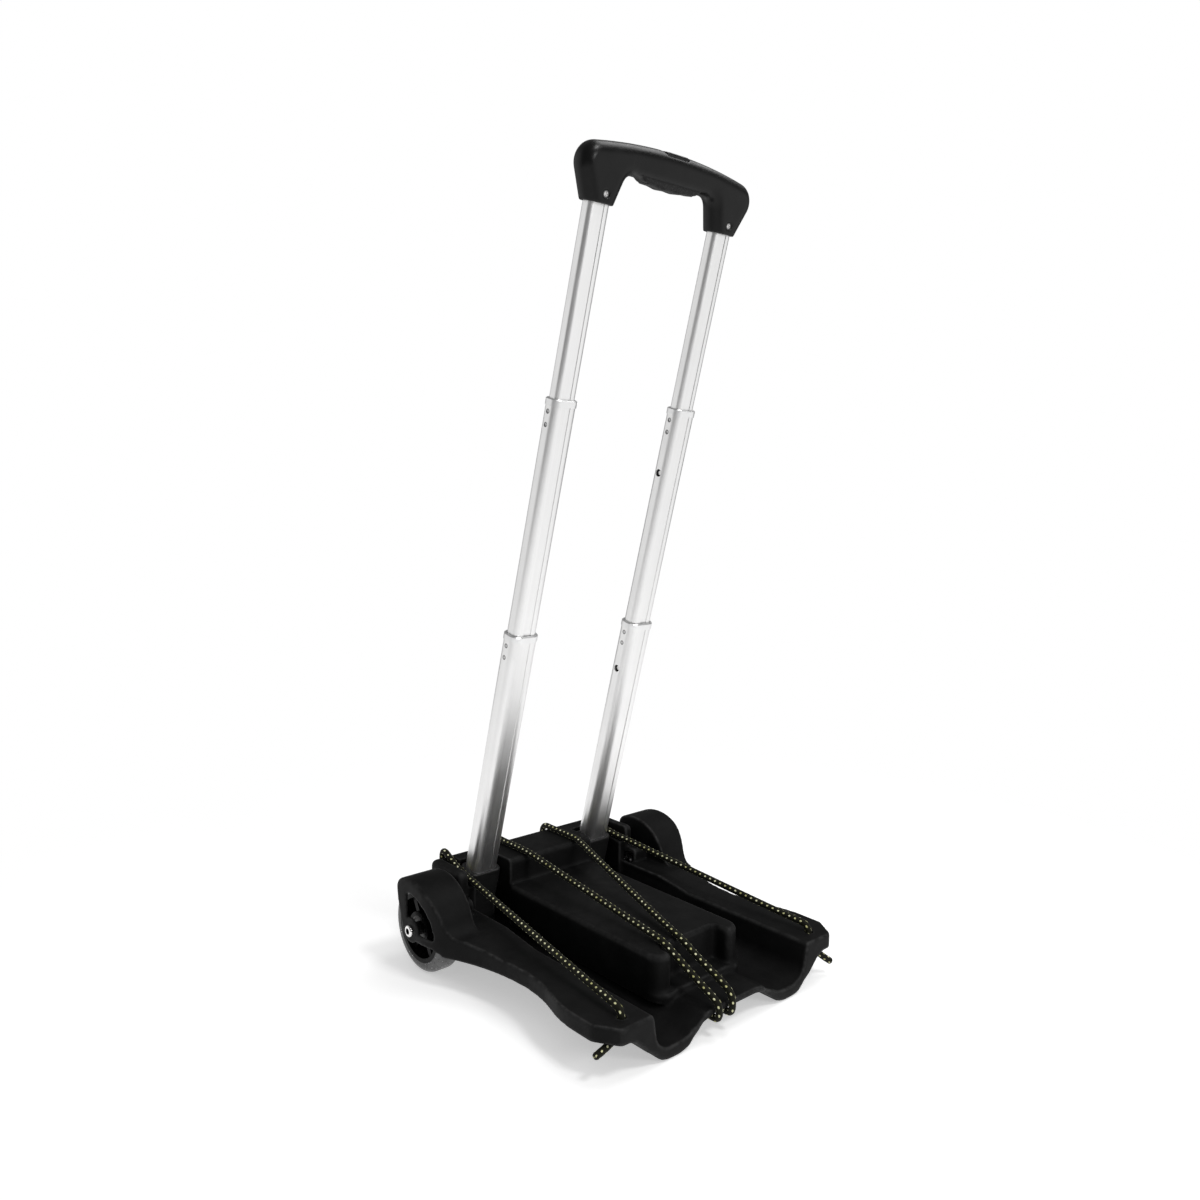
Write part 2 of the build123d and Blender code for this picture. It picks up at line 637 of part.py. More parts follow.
def tube_section(width, depth, corner):
    """Hollow tube section with a shallow flute in its front and back faces."""
    inner = RectangleRounded(width - 2 * TUBE_WALL, depth - 2 * TUBE_WALL, corner - TUBE_WALL)
    section = RectangleRounded(width, depth, corner) - inner
    for side in (-1, 1):
        section -= Pos(0, side * depth / 2) * Rectangle(FLUTE_WIDTH, 2 * FLUTE_DEPTH)
    return section


def tube(section, low, high, window=None):
    """Tube of the right-hand side, with a round lock window in its inner face."""
    body = Pos(TUBE_X, 0, 0) * along_z(section, low, high)
    if window is not None:
        body -= rod_x(0, TUBE_X, 0, window, PIN_DIAMETER / 2 + 0.9)
    return body


def dimpled(body, width, top):
    """Two staked dimples below the collar on each side face."""
    reach = width / 2 + 1.5
    for side in (-1, 1):
        for drop in (11, 22):
            body -= Pos(TUBE_X + side * reach, 0, top - drop) * Rot(0, 0, 90 - 90 * side) * Sphere(2.2)
    return body


def collar(width, depth, corner, top):
    """Guide collar over the top end of a tube of the right-hand side."""
    grow = 2 * COLLAR_LIP
    rim = RectangleRounded(width + grow, depth + grow, corner + COLLAR_LIP)
    body = along_z(rim, top - 2 * COLLAR_FLANGE, top)
    body = chamfer(body.faces().sort_by(Axis.Z)[-1].edges(), 0.9)
    seat = RectangleRounded(width + 0.04, depth + 0.04, corner)
    body -= along_z(seat, top - 2 * COLLAR_FLANGE - 1, top - COLLAR_FLANGE)
    slim = 2 * TUBE_WALL + 0.4
    bore = RectangleRounded(width - slim, depth - slim, corner - slim / 2)
    return Pos(TUBE_X, 0, 0) * (body - along_z(bore, top - COLLAR_FLANGE - 1, top + 1))


def plug(width, depth, corner, pin_at):
    """Guide plug in the lower end of a sliding tube of the right-hand side."""
    low = pin_at - PLUG_LENGTH / 2
    high = pin_at + PLUG_LENGTH / 2
    slim = 2 * TUBE_WALL + 0.1
    body = along_z(RectangleRounded(width, depth, corner), low, high)
    stub = RectangleRounded(width - slim, depth - slim, corner - slim / 2)
    body += along_z(stub, high, high + 14)
    body -= along_z(Circle(2.2), pin_at + 6, high + 15)
    body -= rod_x(-width, 0, 0, pin_at, PIN_DIAMETER / 2 + 0.06)
    return Pos(TUBE_X, 0, 0) * body


def lock_pin(width, pin_at):
    """Lock pin of the right-hand side, its round tip at the inner face of the plug."""
    face = TUBE_X - width / 2
    pin = rod_x(face + 0.1, face + 6.6, 0, pin_at, PIN_DIAMETER / 2)
    return chamfer(pin.faces().sort_by(Axis.X)[0].edges(), 0.6)


def hinge_block():
    """Block at the foot of the right-hand lower tube, with the hinge bore."""
    half = BLOCK_WIDTH / 2
    body = along_z(RectangleRounded(BLOCK_WIDTH, BLOCK_DEPTH, 6), 0, BLOCK_TOP)
    body = fillet(body.faces().sort_by(Axis.Z)[-1].edges(), 1.5)
    body += rod_x(-half, half, 0, 0, BLOCK_DEPTH / 2)
    pocket = RectangleRounded(LOWER_WIDTH + 0.04, LOWER_DEPTH + 0.04, LOWER_CORNER)
    slim = 2 * TUBE_WALL + 0.1
    post = RectangleRounded(LOWER_WIDTH - slim, LOWER_DEPTH - slim, LOWER_CORNER - slim / 2)
    body -= along_z(pocket, 16, BLOCK_TOP + 1)
    body += along_z(post, 15, 30)
    body -= rod_x(-half - 1, half + 1, 0, 0, HINGE_PIN_DIAMETER / 2 + 0.05)
    body = Pos(TUBE_X, 0, 0) * body
    for side in (-1, 1):
        body -= rivet_bore(side)
    return body


def rivet_bore(side):
    """Hole for the rivet through the block wall and the tube wall."""
    inner = TUBE_X + side * (LOWER_WIDTH / 2 - 4)
    ends = sorted((inner, TUBE_X + side * (BLOCK_WIDTH / 2 + 1)))
    return rod_x(ends[0], ends[1], 0, 24, 2.02)


def rivet(side):
    """Rivet that holds the right-hand lower tube in its block."""
    face = TUBE_X + side * BLOCK_WIDTH / 2
    inner = sorted((TUBE_X + side * (LOWER_WIDTH / 2 - 3.5), face))
    outer = sorted((face, face + side * 1.2))
    return rod_x(inner[0], inner[1], 0, 24, 2) + rod_x(outer[0], outer[1], 0, 24, 3.6)


def handle_outline():
    """Front view of the handle: arched bar and two legs, in (X, station)."""
    half = TUBE_X + HANDLE_OVERHANG
    leg_outer = TUBE_X + LEG_WIDTH / 2
    leg_inner = TUBE_X - LEG_WIDTH / 2
    shoulder = HANDLE_TOP - HANDLE_ARCH
    arch = ThreePointArc((-half, shoulder), (0, HANDLE_TOP), (half, shoulder))
    right = [
        (half, shoulder),
        (leg_outer, HANDLE_BOTTOM),
        (leg_inner, HANDLE_BOTTOM),
        (leg_inner - 8, GRIP_BOTTOM),
    ]
    left = [(-x, z) for x, z in reversed(right)]
    face = make_face([arch, *Polyline(*right, *left).edges()])
    ends = [v for v in face.vertices() if abs(v.Y - shoulder) < 0.1]
    face = fillet(ends, HANDLE_SHOULDER)
    throat = [v for v in face.vertices() if abs(v.Y - GRIP_BOTTOM) < 0.1]
    return fillet(throat, 11.0)


def handle_body():
    """Moulded handle with tube sockets, button recess and inner channel."""
    half = HANDLE_DEPTH / 2
    body = along_y(handle_outline(), -half, half)
    faces = body.faces().sort_by(Axis.Y)
    rim = [e for f in (faces[0], faces[-1]) for e in f.edges() if e.center().Z > HANDLE_BOTTOM + 1]
    body = fillet(rim, HANDLE_ROUND)
    socket = RectangleRounded(UPPER_WIDTH + 0.04, UPPER_DEPTH + 0.04, UPPER_CORNER)
    for side in (-1, 1):
        body -= Pos(side * TUBE_X, 0, 0) * along_z(socket, HANDLE_BOTTOM - 1, SOCKET_TOP)
        body -= Pos(side * TUBE_X, 0, 0) * along_z(Circle(2.2), SOCKET_TOP - 1, CHANNEL_LOW + 1)
        screw = Pos(side * TUBE_X, 0, SCREW_STATION) * Rot(90, 0, 0)
        body -= screw * extrude(Circle(1.5), amount=half)
        body -= screw * Pos(0, 0, half - 2) * extrude(Circle(3.4), amount=half)
    body -= block(-TUBE_X - 4.5, TUBE_X + 4.5, -4.5, 4.5, CHANNEL_LOW, CHANNEL_HIGH)
    recess = RectangleRounded(BUTTON_LENGTH + 0.6, BUTTON_WIDTH + 0.6, BUTTON_CORNER + 0.3)
    body -= along_z(recess, BUTTON_FLOOR, HANDLE_TOP + 5)
    body -= block(-5.3, 5.3, -3.3, 3.3, CHANNEL_HIGH - 1, BUTTON_FLOOR + 1)
    pocket = block(-TUBE_X / 2 - 0.02, TUBE_X / 2 + 0.02, -7.02, 7.02, GRIP_BOTTOM - 5, GRIP_BOTTOM + 3)
    return body - pocket


def grip_insert():
    """Soft strip under the bar, bellied downward, with four finger rests."""
    half = TUBE_X / 2
    top = GRIP_BOTTOM + 3
    steps = 8
    wave = []
    for i in range(steps + 1):
        along = 1 - 2 * i / steps
        rest = 0.8 if i % 2 == 1 else 0.0
        wave.append((half * along, GRIP_BOTTOM - GRIP_BELLY * (1 - along**2) - rest))
    points = [(-half, top), (half, top)] + wave
    radii = [0, 0, 0] + [FINGER_RADIUS] * (steps - 1) + [0]
    strip = along_y(polygon(points, radii), -7, 7)
    sides = [f for f in strip.faces() if abs(abs(f.center().Y) - 7) < 0.1]
    lower = [e for f in sides for e in f.edges() if e.center().Z < GRIP_BOTTOM]
    return fillet(lower, GRIP_EDGE)


def handle_screw():
    """Screw in the front of the right-hand leg, with a cross recess."""
    half = HANDLE_DEPTH / 2
    turn = Rot(90, 0, 0)
    seat = half - 2
    screw = turn * along_z(Circle(1.45), UPPER_DEPTH / 2 - 3, seat)
    head = turn * along_z(Circle(2.9), seat, seat + 1.2)
    for angle in (0, 90):
        head -= turn * Rot(0, 0, angle) * Pos(0, 0, seat + 1.2) * Box(3.2, 0.8, 1.2)
    return Pos(TUBE_X, 0, SCREW_STATION) * (screw + head)


def release_button():
    """Push button with its stem down to the bridge."""
    floor = BUTTON_FLOOR + BUTTON_TRAVEL + 0.3
    plan = RectangleRounded(BUTTON_LENGTH, BUTTON_WIDTH, BUTTON_CORNER)
    cap = along_z(plan, floor, floor + BUTTON_CAP)
    cap = fillet(cap.faces().sort_by(Axis.Z)[-1].edges(), 1.6)
    return cap + block(-5, 5, -3, 3, CHANNEL_HIGH - 0.3, floor + 1)


def release_bridge():
    """Bar that carries the push of the button to both tubes."""
    high = CHANNEL_HIGH - 0.3
    return block(-TUBE_X - 4, TUBE_X + 4, -3.5, 3.5, high - 4.5, high)


def push_rod():
    """Rod inside the right-hand upper tube."""
    return Pos(TUBE_X, 0, 0) * along_z(Circle(1.6), UPPER_PIN + ROD_START, CHANNEL_HIGH - 4.8)


# Base and what is fixed to it
save("base_shell", base_shell())
save("axle_bolts", *both_sides(axle_bolt()))
save("axle_nuts", *both_sides(axle_nut()))
WHEEL_FACE = WHEEL_WIDTH / 2 + 0.3
INNER_SPACER = spacer(WELL_INNER, WHEEL_X - WHEEL_FACE)
OUTER_SPACER = spacer(WHEEL_X + WHEEL_FACE, WELL_OUTER)
save("wheel_spacers", *both_sides(INNER_SPACER), *both_sides(OUTER_SPACER))
save("hinge_pins", *both_sides(hinge_pin()))
save("hinge_washers", *[ring for washer in hinge_washers() for ring in both_sides(washer)])
save("cord_stops", *both_sides(cord_stop()))
save("bungee_cord", bungee_cord())

# Wheels
wheel(-1, "left")
wheel(1, "right")

# Handle frame, built upright on the right-hand side and leaned into place
UPPER_SECTION = tube_section(UPPER_WIDTH, UPPER_DEPTH, UPPER_CORNER)
MIDDLE_SECTION = tube_section(MIDDLE_WIDTH, MIDDLE_DEPTH, MIDDLE_CORNER)
LOWER_SECTION = tube_section(LOWER_WIDTH, LOWER_DEPTH, LOWER_CORNER)

LOWER_TUBE = tube(LOWER_SECTION, 16, LOWER_TOP - COLLAR_FLANGE, LOWER_PIN)
for side in (-1, 1):
    LOWER_TUBE -= rivet_bore(side)
MIDDLE_TUBE = tube(MIDDLE_SECTION, LOWER_PIN + PLUG_LENGTH / 2, MIDDLE_TOP - COLLAR_FLANGE, UPPER_PIN)
MIDDLE_TUBE = dimpled(MIDDLE_TUBE, MIDDLE_WIDTH, MIDDLE_TOP)
UPPER_TUBE = tube(UPPER_SECTION, UPPER_PIN + PLUG_LENGTH / 2, SOCKET_TOP)
SCREW_HOLE = Pos(TUBE_X, 0, SCREW_STATION) * Rot(90, 0, 0) * extrude(Circle(1.5), amount=HANDLE_DEPTH)
UPPER_TUBE -= SCREW_HOLE

PAIRS = {
    "hinge_block": hinge_block(),
    "lower_tube": LOWER_TUBE,
    "lower_collar": collar(LOWER_WIDTH, LOWER_DEPTH, LOWER_CORNER, LOWER_TOP),
    "middle_tube": MIDDLE_TUBE,
    "middle_collar": collar(MIDDLE_WIDTH, MIDDLE_DEPTH, MIDDLE_CORNER, MIDDLE_TOP),
    "middle_plug": plug(MIDDLE_WIDTH, MIDDLE_DEPTH, MIDDLE_CORNER, LOWER_PIN),
    "lower_pin": lock_pin(MIDDLE_WIDTH, LOWER_PIN),
    "upper_tube": UPPER_TUBE,
    "upper_plug": plug(UPPER_WIDTH, UPPER_DEPTH, UPPER_CORNER, UPPER_PIN),
    "upper_pin": lock_pin(UPPER_WIDTH, UPPER_PIN),
}
for name, solid in PAIRS.items():
    right, left = both_sides(solid)
    save(f"{name}_right", HANDLE_FRAME * right)
    save(f"{name}_left", HANDLE_FRAME * left)

RIVETS = [r for side in (-1, 1) for r in both_sides(rivet(side))]
save("tube_rivets", *[HANDLE_FRAME * r for r in RIVETS])
save("handle_body", HANDLE_FRAME * handle_body())
save("grip_insert", HANDLE_FRAME * grip_insert())
save("handle_screws", *[HANDLE_FRAME * s for s in both_sides(handle_screw())])
save("release_button", HANDLE_FRAME * release_button())
save("release_bridge", HANDLE_FRAME * release_bridge())
save("push_rods", *[HANDLE_FRAME * r for r in both_sides(push_rod())])
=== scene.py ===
import json
import math

import bmesh
import bpy
import numpy as np
from mathutils import Matrix, Vector

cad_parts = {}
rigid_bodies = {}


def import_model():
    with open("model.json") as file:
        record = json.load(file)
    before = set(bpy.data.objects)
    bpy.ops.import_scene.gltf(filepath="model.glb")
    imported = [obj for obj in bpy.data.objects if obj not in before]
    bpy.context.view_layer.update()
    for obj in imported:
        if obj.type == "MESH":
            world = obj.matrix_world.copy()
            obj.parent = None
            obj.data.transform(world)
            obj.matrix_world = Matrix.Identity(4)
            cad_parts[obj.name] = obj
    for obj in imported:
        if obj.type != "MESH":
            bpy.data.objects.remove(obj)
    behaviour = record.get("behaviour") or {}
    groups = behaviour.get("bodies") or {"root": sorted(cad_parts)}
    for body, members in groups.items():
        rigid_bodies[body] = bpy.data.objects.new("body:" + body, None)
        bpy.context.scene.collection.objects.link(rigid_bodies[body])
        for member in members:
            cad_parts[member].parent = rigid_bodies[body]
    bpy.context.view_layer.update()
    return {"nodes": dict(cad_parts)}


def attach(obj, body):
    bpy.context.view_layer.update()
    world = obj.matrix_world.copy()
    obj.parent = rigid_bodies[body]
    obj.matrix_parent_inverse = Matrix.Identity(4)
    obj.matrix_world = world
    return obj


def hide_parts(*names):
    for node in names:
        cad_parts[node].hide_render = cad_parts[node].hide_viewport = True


for stray in list(bpy.data.objects):
    bpy.data.objects.remove(stray)
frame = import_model()
NODES = frame["nodes"]

# Camera, worked out from the photograph's 1200 by 1200 frame
IMAGE_SIDE = 1200
FOCAL_PIXELS = 1019.2
SENSOR_MM = 36.0
CLIP_START = 0.01
CLIP_END = 100.0
CAMERA_AT = Vector((-0.60505, -0.65691, 0.43539))
CAMERA_TURN = math.radians(41.58)
CAMERA_DOWN = math.radians(6.49)
CAMERA_ROLL = math.radians(0.74)

# World: its light, and the studio walls that reflections show, by direction and brightness
WORLD_LEVEL = 0.42
WALLS = (
    ((0.64, -0.70, -0.34), 1.0),
    ((-0.64, 0.77, 0.08), 0.88),
)
WALL_INNER = math.radians(16)
WALL_OUTER = math.radians(46)
BETWEEN_WALLS = 0.20

# Soft boxes: name, place, target, side, power
LAMPS = (
    ("overhead", (0.75, -0.12, 1.90), (0.0, 0.0, 0.3), 0.90, 9.0),
    ("key", (0.10, -1.10, 1.80), (0.0, 0.0, 0.4), 0.40, 12.0),
    ("front", (0.05, -1.60, 0.85), (0.0, 0.0, 0.4), 0.35, 5.0),
)

# Floor: a disc just under the wheels that fades to white away from the middle
FLOOR_RADIUS = 1.4
FLOOR_STEPS = 64
FLOOR_Z = -0.0005
FLOOR_GLOW = 0.44
FLOOR_FADE = (0.25, 0.75)
WHITE = (1, 1, 1, 1)

# Range that most values of a noise texture lie in
NOISE_LOW = 0.3
NOISE_HIGH = 0.7

# Handle frame: its lean, and its hinge, from which stations along it are counted
LEAN = math.radians(15)
UPRIGHT = (-LEAN, 0, 0)
HINGE_AT = (0.0, 0.1243, 0.026)

# Dimples staked into the tubes, whose rims get painted shade: stations, fade of the rim and of the
# core, and the share of the painted shade that the core loses
DIMPLE_STATIONS = (0.267, 0.278, 0.473, 0.484)
DIMPLE_RIM = (0.0019, 0.0024)
DIMPLE_CORE = (0.0006, 0.0014)
CORE_SHARE = 0.75

# Heads of the handle's screws: place, and fade from the bright middle to the painted shade at the
# rim
SCREW_X = 0.070
SCREW_STATION = 0.6537
SCREW_SHADE_RIM = (0.0014, 0.0022)

# Wheel axle, for the finishes of its bolts and of the tyres, with the radii where they change: the
# edge of the painted shade in the bolts' hex sockets, and the tyres' darkening towards the hub
AXLE_Y = 0.0985
AXLE_Z = 0.040
SOCKET_SHADE_EDGE = (0.0026, 0.0030)
TYRE_DEPTH = (0.0315, 0.0398)

# Cord: its size, its tube and the relief of its braid
CORD_DIAMETER = 0.006
CORD_SIDES = 24
CORD_STEP = 0.00075
SPLINE_STEPS = 32
BRAID_STARTS = 6
BRAID_PITCH = 0.0032
BRAID_RELIEF = 0.00011
CUT_SHARE = 0.80
CUT_ROUND = 0.0012

# Flecks in the cord's sheath, in rows round it
FLECK_PITCH = 0.006
FLECK_ROWS = 4
FLECK_ROW_WIDTH = 0.00471
FLECK_HALF_LENGTH = 0.0010
FLECK_HALF_WIDTH = 0.00085
FLECK_SLANT = 0.12
FLECK_EDGE = (0.65, 1.25)
FLECK_COLOURS = ((0.52, 0.51, 0.22, 1), (0.88, 0.88, 0.60, 1))
SHEATH_COLOURS = ((0.003, 0.003, 0.002, 1), (0.012, 0.012, 0.005, 1))

# Skins of the mouldings: voxel and rounds of smoothing
BASE_SKIN = (0.0012, 8)
HANDLE_SKIN = (0.0008, 6)
GRIP_SKIN = (0.0006, 8)
GRIP_SWELL = 0.0006
SMOOTH_FACTOR = 0.5

# Round of the handle's bar and the finger strip under it
GRIP_BOTTOM = 0.6715
BAR_ROUND = 0.010
BAR_FLAT = 0.001
STRIP_FULL = 0.018
STRIP_END = 0.033
STRIP_HALF = 0.0358
STRIP_SIDE = 0.0082
STRIP_PROUD = 0.008
STRIP_SINK = 0.0006
STRIP_TOP = 0.0022

# Turn from the handle's bar into its legs
THROAT_X = 0.0445
THROAT_STATION = 0.6745
THROAT_REACH = 0.0125
THROAT_ROUNDS = 60
THROAT_PULL = 0.6
THROAT_SLOPE = 1.5

# Recess of the release button in the handle
RECESS_HALF_LENGTH = 0.0158
RECESS_HALF_WIDTH = 0.0083
RECESS_CORNER = 0.0075
RECESS_FLOOR = 0.6880
RECESS_BAND = 0.0025
RECESS_SPARE = 0.0006

# Corners of the tray's section that are rounded further: place, direction, amount, reach
TROUGH_CORNERS = (
    (0.0855, 0.000, -0.395, 0.918, 0.0007, 0.015),
    (0.0525, 0.000, 0.459, 0.889, 0.0019, 0.013),
    (0.0870, 0.010, -0.639, 0.770, 0.0023, 0.013),
    (0.0540, 0.010, 0.351, 0.936, 0.0010, 0.011),
    (0.0390, 0.019, -0.459, -0.889, 0.0024, 0.015),
)
ROUND_FULL = -0.06
ROUND_END = -0.01

# Left side of the cord's route, in metres, from the corner hole to the rear block
CORD_SIDE = [
    (-0.1135, -0.1330, 0.0265),
    (-0.1135, -0.1330, 0.0475),
    (-0.1122, -0.1190, 0.0492),
    (-0.1100, -0.0940, 0.0512),
    (-0.0942, 0.0790, 0.0706),
    (-0.0910, 0.1080, 0.0736),
    (-0.0910, 0.1260, 0.0790),
    (-0.0910, 0.1450, 0.0890),
    (-0.0910, 0.1446, 0.0680),
    (-0.0910, 0.1438, 0.0315),
    (-0.0300, 0.1438, 0.0315),
    (-0.0300, 0.1438, 0.0660),
    (-0.0300, 0.1442, 0.0860),
    (-0.0300, 0.1250, 0.0854),
    (-0.0300, 0.1000, 0.0855),
    (-0.0300, 0.0865, 0.0849),
]

# Middle of the route: over the platform, round the lip and back
CORD_HOOK = [
    (-0.0300, 0.0500, 0.0799),
    (-0.0300, -0.0480, 0.0669),
    (-0.0300, -0.0840, 0.0626),
    (-0.0295, -0.0955, 0.0598),
    (-0.0278, -0.1160, 0.0475),
    (-0.0257, -0.1400, 0.0345),
    (-0.0250, -0.1516, 0.0286),
    (-0.0250, -0.1516, 0.0155),
    (-0.0250, -0.1410, 0.0156),
    (-0.0250, -0.1275, 0.0152),
    (-0.0095, -0.1275, 0.0152),
    (-0.0095, -0.1410, 0.0156),
    (-0.0095, -0.1516, 0.0155),
    (-0.0095, -0.1516, 0.0310),
    (-0.0099, -0.1410, 0.0380),
    (-0.0110, -0.1160, 0.0489),
    (-0.0118, -0.0955, 0.0598),
    (-0.0112, -0.0840, 0.0626),
    (-0.0028, -0.0480, 0.0669),
    (0.0202, 0.0500, 0.0799),
]
CORD_LEFT_END = (-0.1410, -0.1345, 0.0213)
CORD_RIGHT_END = (0.1340, -0.1430, 0.0115)


# Materials


class Nodes:
    """A node tree whose nodes are added in short calls."""

    def __init__(self, tree):
        self.tree = tree

    def feed(self, socket, value):
        """Link a socket to another, or set its value."""
        if isinstance(value, bpy.types.NodeSocket):
            self.tree.links.new(value, socket)
        else:
            socket.default_value = value

    def add(self, kind, inputs=(), **settings):
        """A new node with its settings and inputs."""
        node = self.tree.nodes.new("ShaderNode" + kind)
        for name, value in settings.items():
            setattr(node, name, value)
        for name, value in dict(inputs).items():
            self.feed(node.inputs[name], value)
        return node

    def calc(self, operation, first, second=0.0):
        """A math node on one or two values."""
        return self.add("Math", {0: first, 1: second}, operation=operation).outputs[0]

    def span(self, value, low, high, to_low=0.0, to_high=1.0, **settings):
        """Map a span of a value to another span."""
        inputs = {
            "Value": value,
            "From Min": low,
            "From Max": high,
            "To Min": to_low,
            "To Max": to_high,
        }
        return self.add("MapRange", inputs, **settings).outputs["Result"]

    def seen_directly(self):
        """1 for camera, glossy and transmission rays."""
        rays = self.add("LightPath").outputs
        seen = self.calc("MAXIMUM", rays["Is Camera Ray"], rays["Is Glossy Ray"])
        return self.calc("MAXIMUM", seen, rays["Is Transmission Ray"])


class Finish(Nodes):
    """A material and the nodes that feed its main shader."""

    def __init__(self, name, **sockets):
        self.material = bpy.data.materials.new(name)
        self.material.use_nodes = True
        super().__init__(self.material.node_tree)
        self.shader = self.tree.nodes["Principled BSDF"]
        for socket, value in sockets.items():
            self.set(socket.replace("_", " "), value)

    def set(self, name, value):
        """Set or link an input of the main shader, named in small letters."""
        names = {key.lower(): key for key in self.shader.inputs.keys()}
        self.feed(self.shader.inputs[names[name]], value)

    def place(self, scale=(1, 1, 1), turn=(0, 0, 0)):
        """The point on the object, in metres, turned and then scaled."""
        point = self.add("TexCoord").outputs["Object"]
        turned = self.add("Mapping", {"Vector": point, "Rotation": turn}).outputs[0]
        return self.add("Mapping", {"Vector": turned, "Scale": scale}).outputs[0]

    def noise(self, point, scale=1, detail=2, roughness=0.5):
        """Noise from 0 to 1."""
        inputs = {"Vector": point, "Scale": scale, "Detail": detail, "Roughness": roughness}
        return self.add("TexNoise", inputs).outputs["Fac"]

    def cells(self, point, scale):
        """Distance to the middle of the nearest cell."""
        return self.add("TexVoronoi", {"Vector": point, "Scale": scale}).outputs["Distance"]

    def spread(self, noise, to_low=0.0, to_high=1.0):
        """Spread the usual range of a noise over another span."""
        return self.span(noise, NOISE_LOW, NOISE_HIGH, to_low, to_high)

    def squares(self, first, second):
        """Sum of two squares."""
        return self.calc("ADD", self.calc("POWER", first, 2.0), self.calc("POWER", second, 2.0))

    def distance(self, first, second):
        """Distance that two offsets at right angles make."""
        return self.calc("SQRT", self.squares(first, second))

    def mix(self, share, first, second):
        """Mix of two colours."""
        node = self.add("Mix", {0: share, 6: first, 7: second}, data_type="RGBA")
        return node.outputs[2]

    def bump(self, height, strength, depth, normal=None):
        """Bump from a height, on top of another bump if one is given."""
        inputs = {"Height": height, "Strength": strength, "Distance": depth}
        if normal is not None:
            inputs["Normal"] = normal
        return self.add("Bump", inputs).outputs["Normal"]

    def edges(self, low, high):
        """1 on outer edges of the mesh, 0 on flat faces."""
        return self.span(self.add("NewGeometry").outputs["Pointiness"], low, high)


def grey(level, warm=0.0):
    """A grey, a little warmer or cooler."""
    return (level * (1 + warm), level, level * (1 - warm), 1.0)


def frame_place(f):
    """Place across, through and along the handle frame, from its hinge."""
    offset = {0: f.place(), 1: HINGE_AT}
    hinge = f.add("VectorMath", offset, operation="SUBTRACT").outputs[0]
    upright = f.add("Mapping", {"Vector": hinge, "Rotation": UPRIGHT}).outputs[0]
    return f.add("SeparateXYZ", {0: upright}).outputs


def axle_distance(f):
    """Distance from the line of the wheels' axle."""
    _, y, z = f.add("SeparateXYZ", {0: f.place()}).outputs
    return f.distance(f.calc("SUBTRACT", y, AXLE_Y), f.calc("SUBTRACT", z, AXLE_Z))


def dimple_painted_shade(f):
    """Painted shade in the dimples staked into the side faces: 1 in their rims, less in their
    middles, 0 elsewhere.
    """
    _, through, along = frame_place(f)
    marks = 0.0
    for station in DIMPLE_STATIONS:
        away = f.distance(through, f.calc("SUBTRACT", along, station))
        inside = f.span(away, *DIMPLE_RIM, 1.0, 0.0)
        core = f.span(away, *DIMPLE_CORE, CORE_SHARE, 0.0)
        marks = f.calc("MAXIMUM", f.calc("SUBTRACT", inside, core), marks)
    return marks


def hazed_plate(f, dark, light):
    """Bright plating dulled by handling: the haze and the colour."""
    haze = f.noise(f.place(), 320, detail=4, roughness=0.6)
    return haze, f.mix(f.spread(haze), grey(dark, 0.01), grey(light, 0.01))


def moulded_plastic(name, dark, light, rough, gloss, edge_rub_and_highlight, grain, depth):
    """Black moulded plastic: fine grain, soft mottling, paler edges that are part rubbed wear and
    part painted highlight.
    """
    f = Finish(name, specular_ior_level=gloss)
    point = f.place()
    mottle = f.span(f.noise(point, 38, detail=4, roughness=0.6), 0.35, 0.65)
    body = f.mix(mottle, grey(dark), grey(light))
    patchy = f.span(f.noise(point, 160, detail=5), 0.36, 0.60, 0.25, 1.0)
    # paler edges: partly rubbed wear, partly a painted highlight along the edges
    rubbed_and_highlit_edges = f.calc("MULTIPLY", f.edges(0.508, 0.55), patchy)
    f.set("base color", f.mix(f.calc("MULTIPLY", rubbed_and_highlit_edges, edge_rub_and_highlight), body, grey(0.05)))
    fine = f.noise(point, grain, roughness=0.6)
    grained = f.span(fine, 0.2, 0.8, rough - 0.04, rough + 0.05)
    smear = f.spread(f.noise(point, 90, detail=5, roughness=0.65), -0.05, 0.06)
    f.set("roughness", f.calc("ADD", grained, smear))
    waves = f.bump(f.noise(point, 55), strength=0.12, depth=0.0004)
    f.set("normal", f.bump(fine, strength=0.35, depth=depth, normal=waves))
    return f.material


def rubber_grip():
    """Soft dark strip with rows of small pips."""
    f = Finish("rubber_grip", specular_ior_level=0.2, sheen_weight=0.15, sheen_roughness=0.5)
    point = f.place(turn=UPRIGHT)
    pips = f.span(f.cells(point, 620), 0.25, 0.5, 1.0, 0.0)
    f.set("base color", f.mix(pips, grey(0.010), grey(0.018)))
    f.set("roughness", f.spread(f.noise(point, 900), 0.62, 0.78))
    f.set("normal", f.bump(pips, strength=0.6, depth=0.0002))
    return f.material


def anodised_tube():
    """Silver anodised tube with fine drawing lines along its length."""
    f = Finish("anodised_tube", metallic=1.0)
    lines = f.noise(f.place((2600, 2600, 5), UPRIGHT), detail=3, roughness=0.6)
    bands = f.noise(f.place((420, 420, 2), UPRIGHT))
    cloud = f.noise(f.place(), 30, detail=3)
    tone = f.calc("ADD", f.calc("MULTIPLY", lines, 0.6), f.calc("MULTIPLY", bands, 0.4))
    silver = f.mix(f.spread(tone), grey(0.83, 0.003), grey(0.92, 0.003))
    # painted shade darkens the rims of the staked dimples, with lighter middles
    f.set("base color", f.mix(dimple_painted_shade(f), silver, grey(0.22)))
    rough = f.span(lines, 0.25, 0.75, 0.33, 0.43)
    f.set("roughness", f.calc("ADD", rough, f.spread(cloud, -0.03, 0.04)))
    f.set("normal", f.bump(lines, strength=0.10, depth=0.00005))
    return f.material


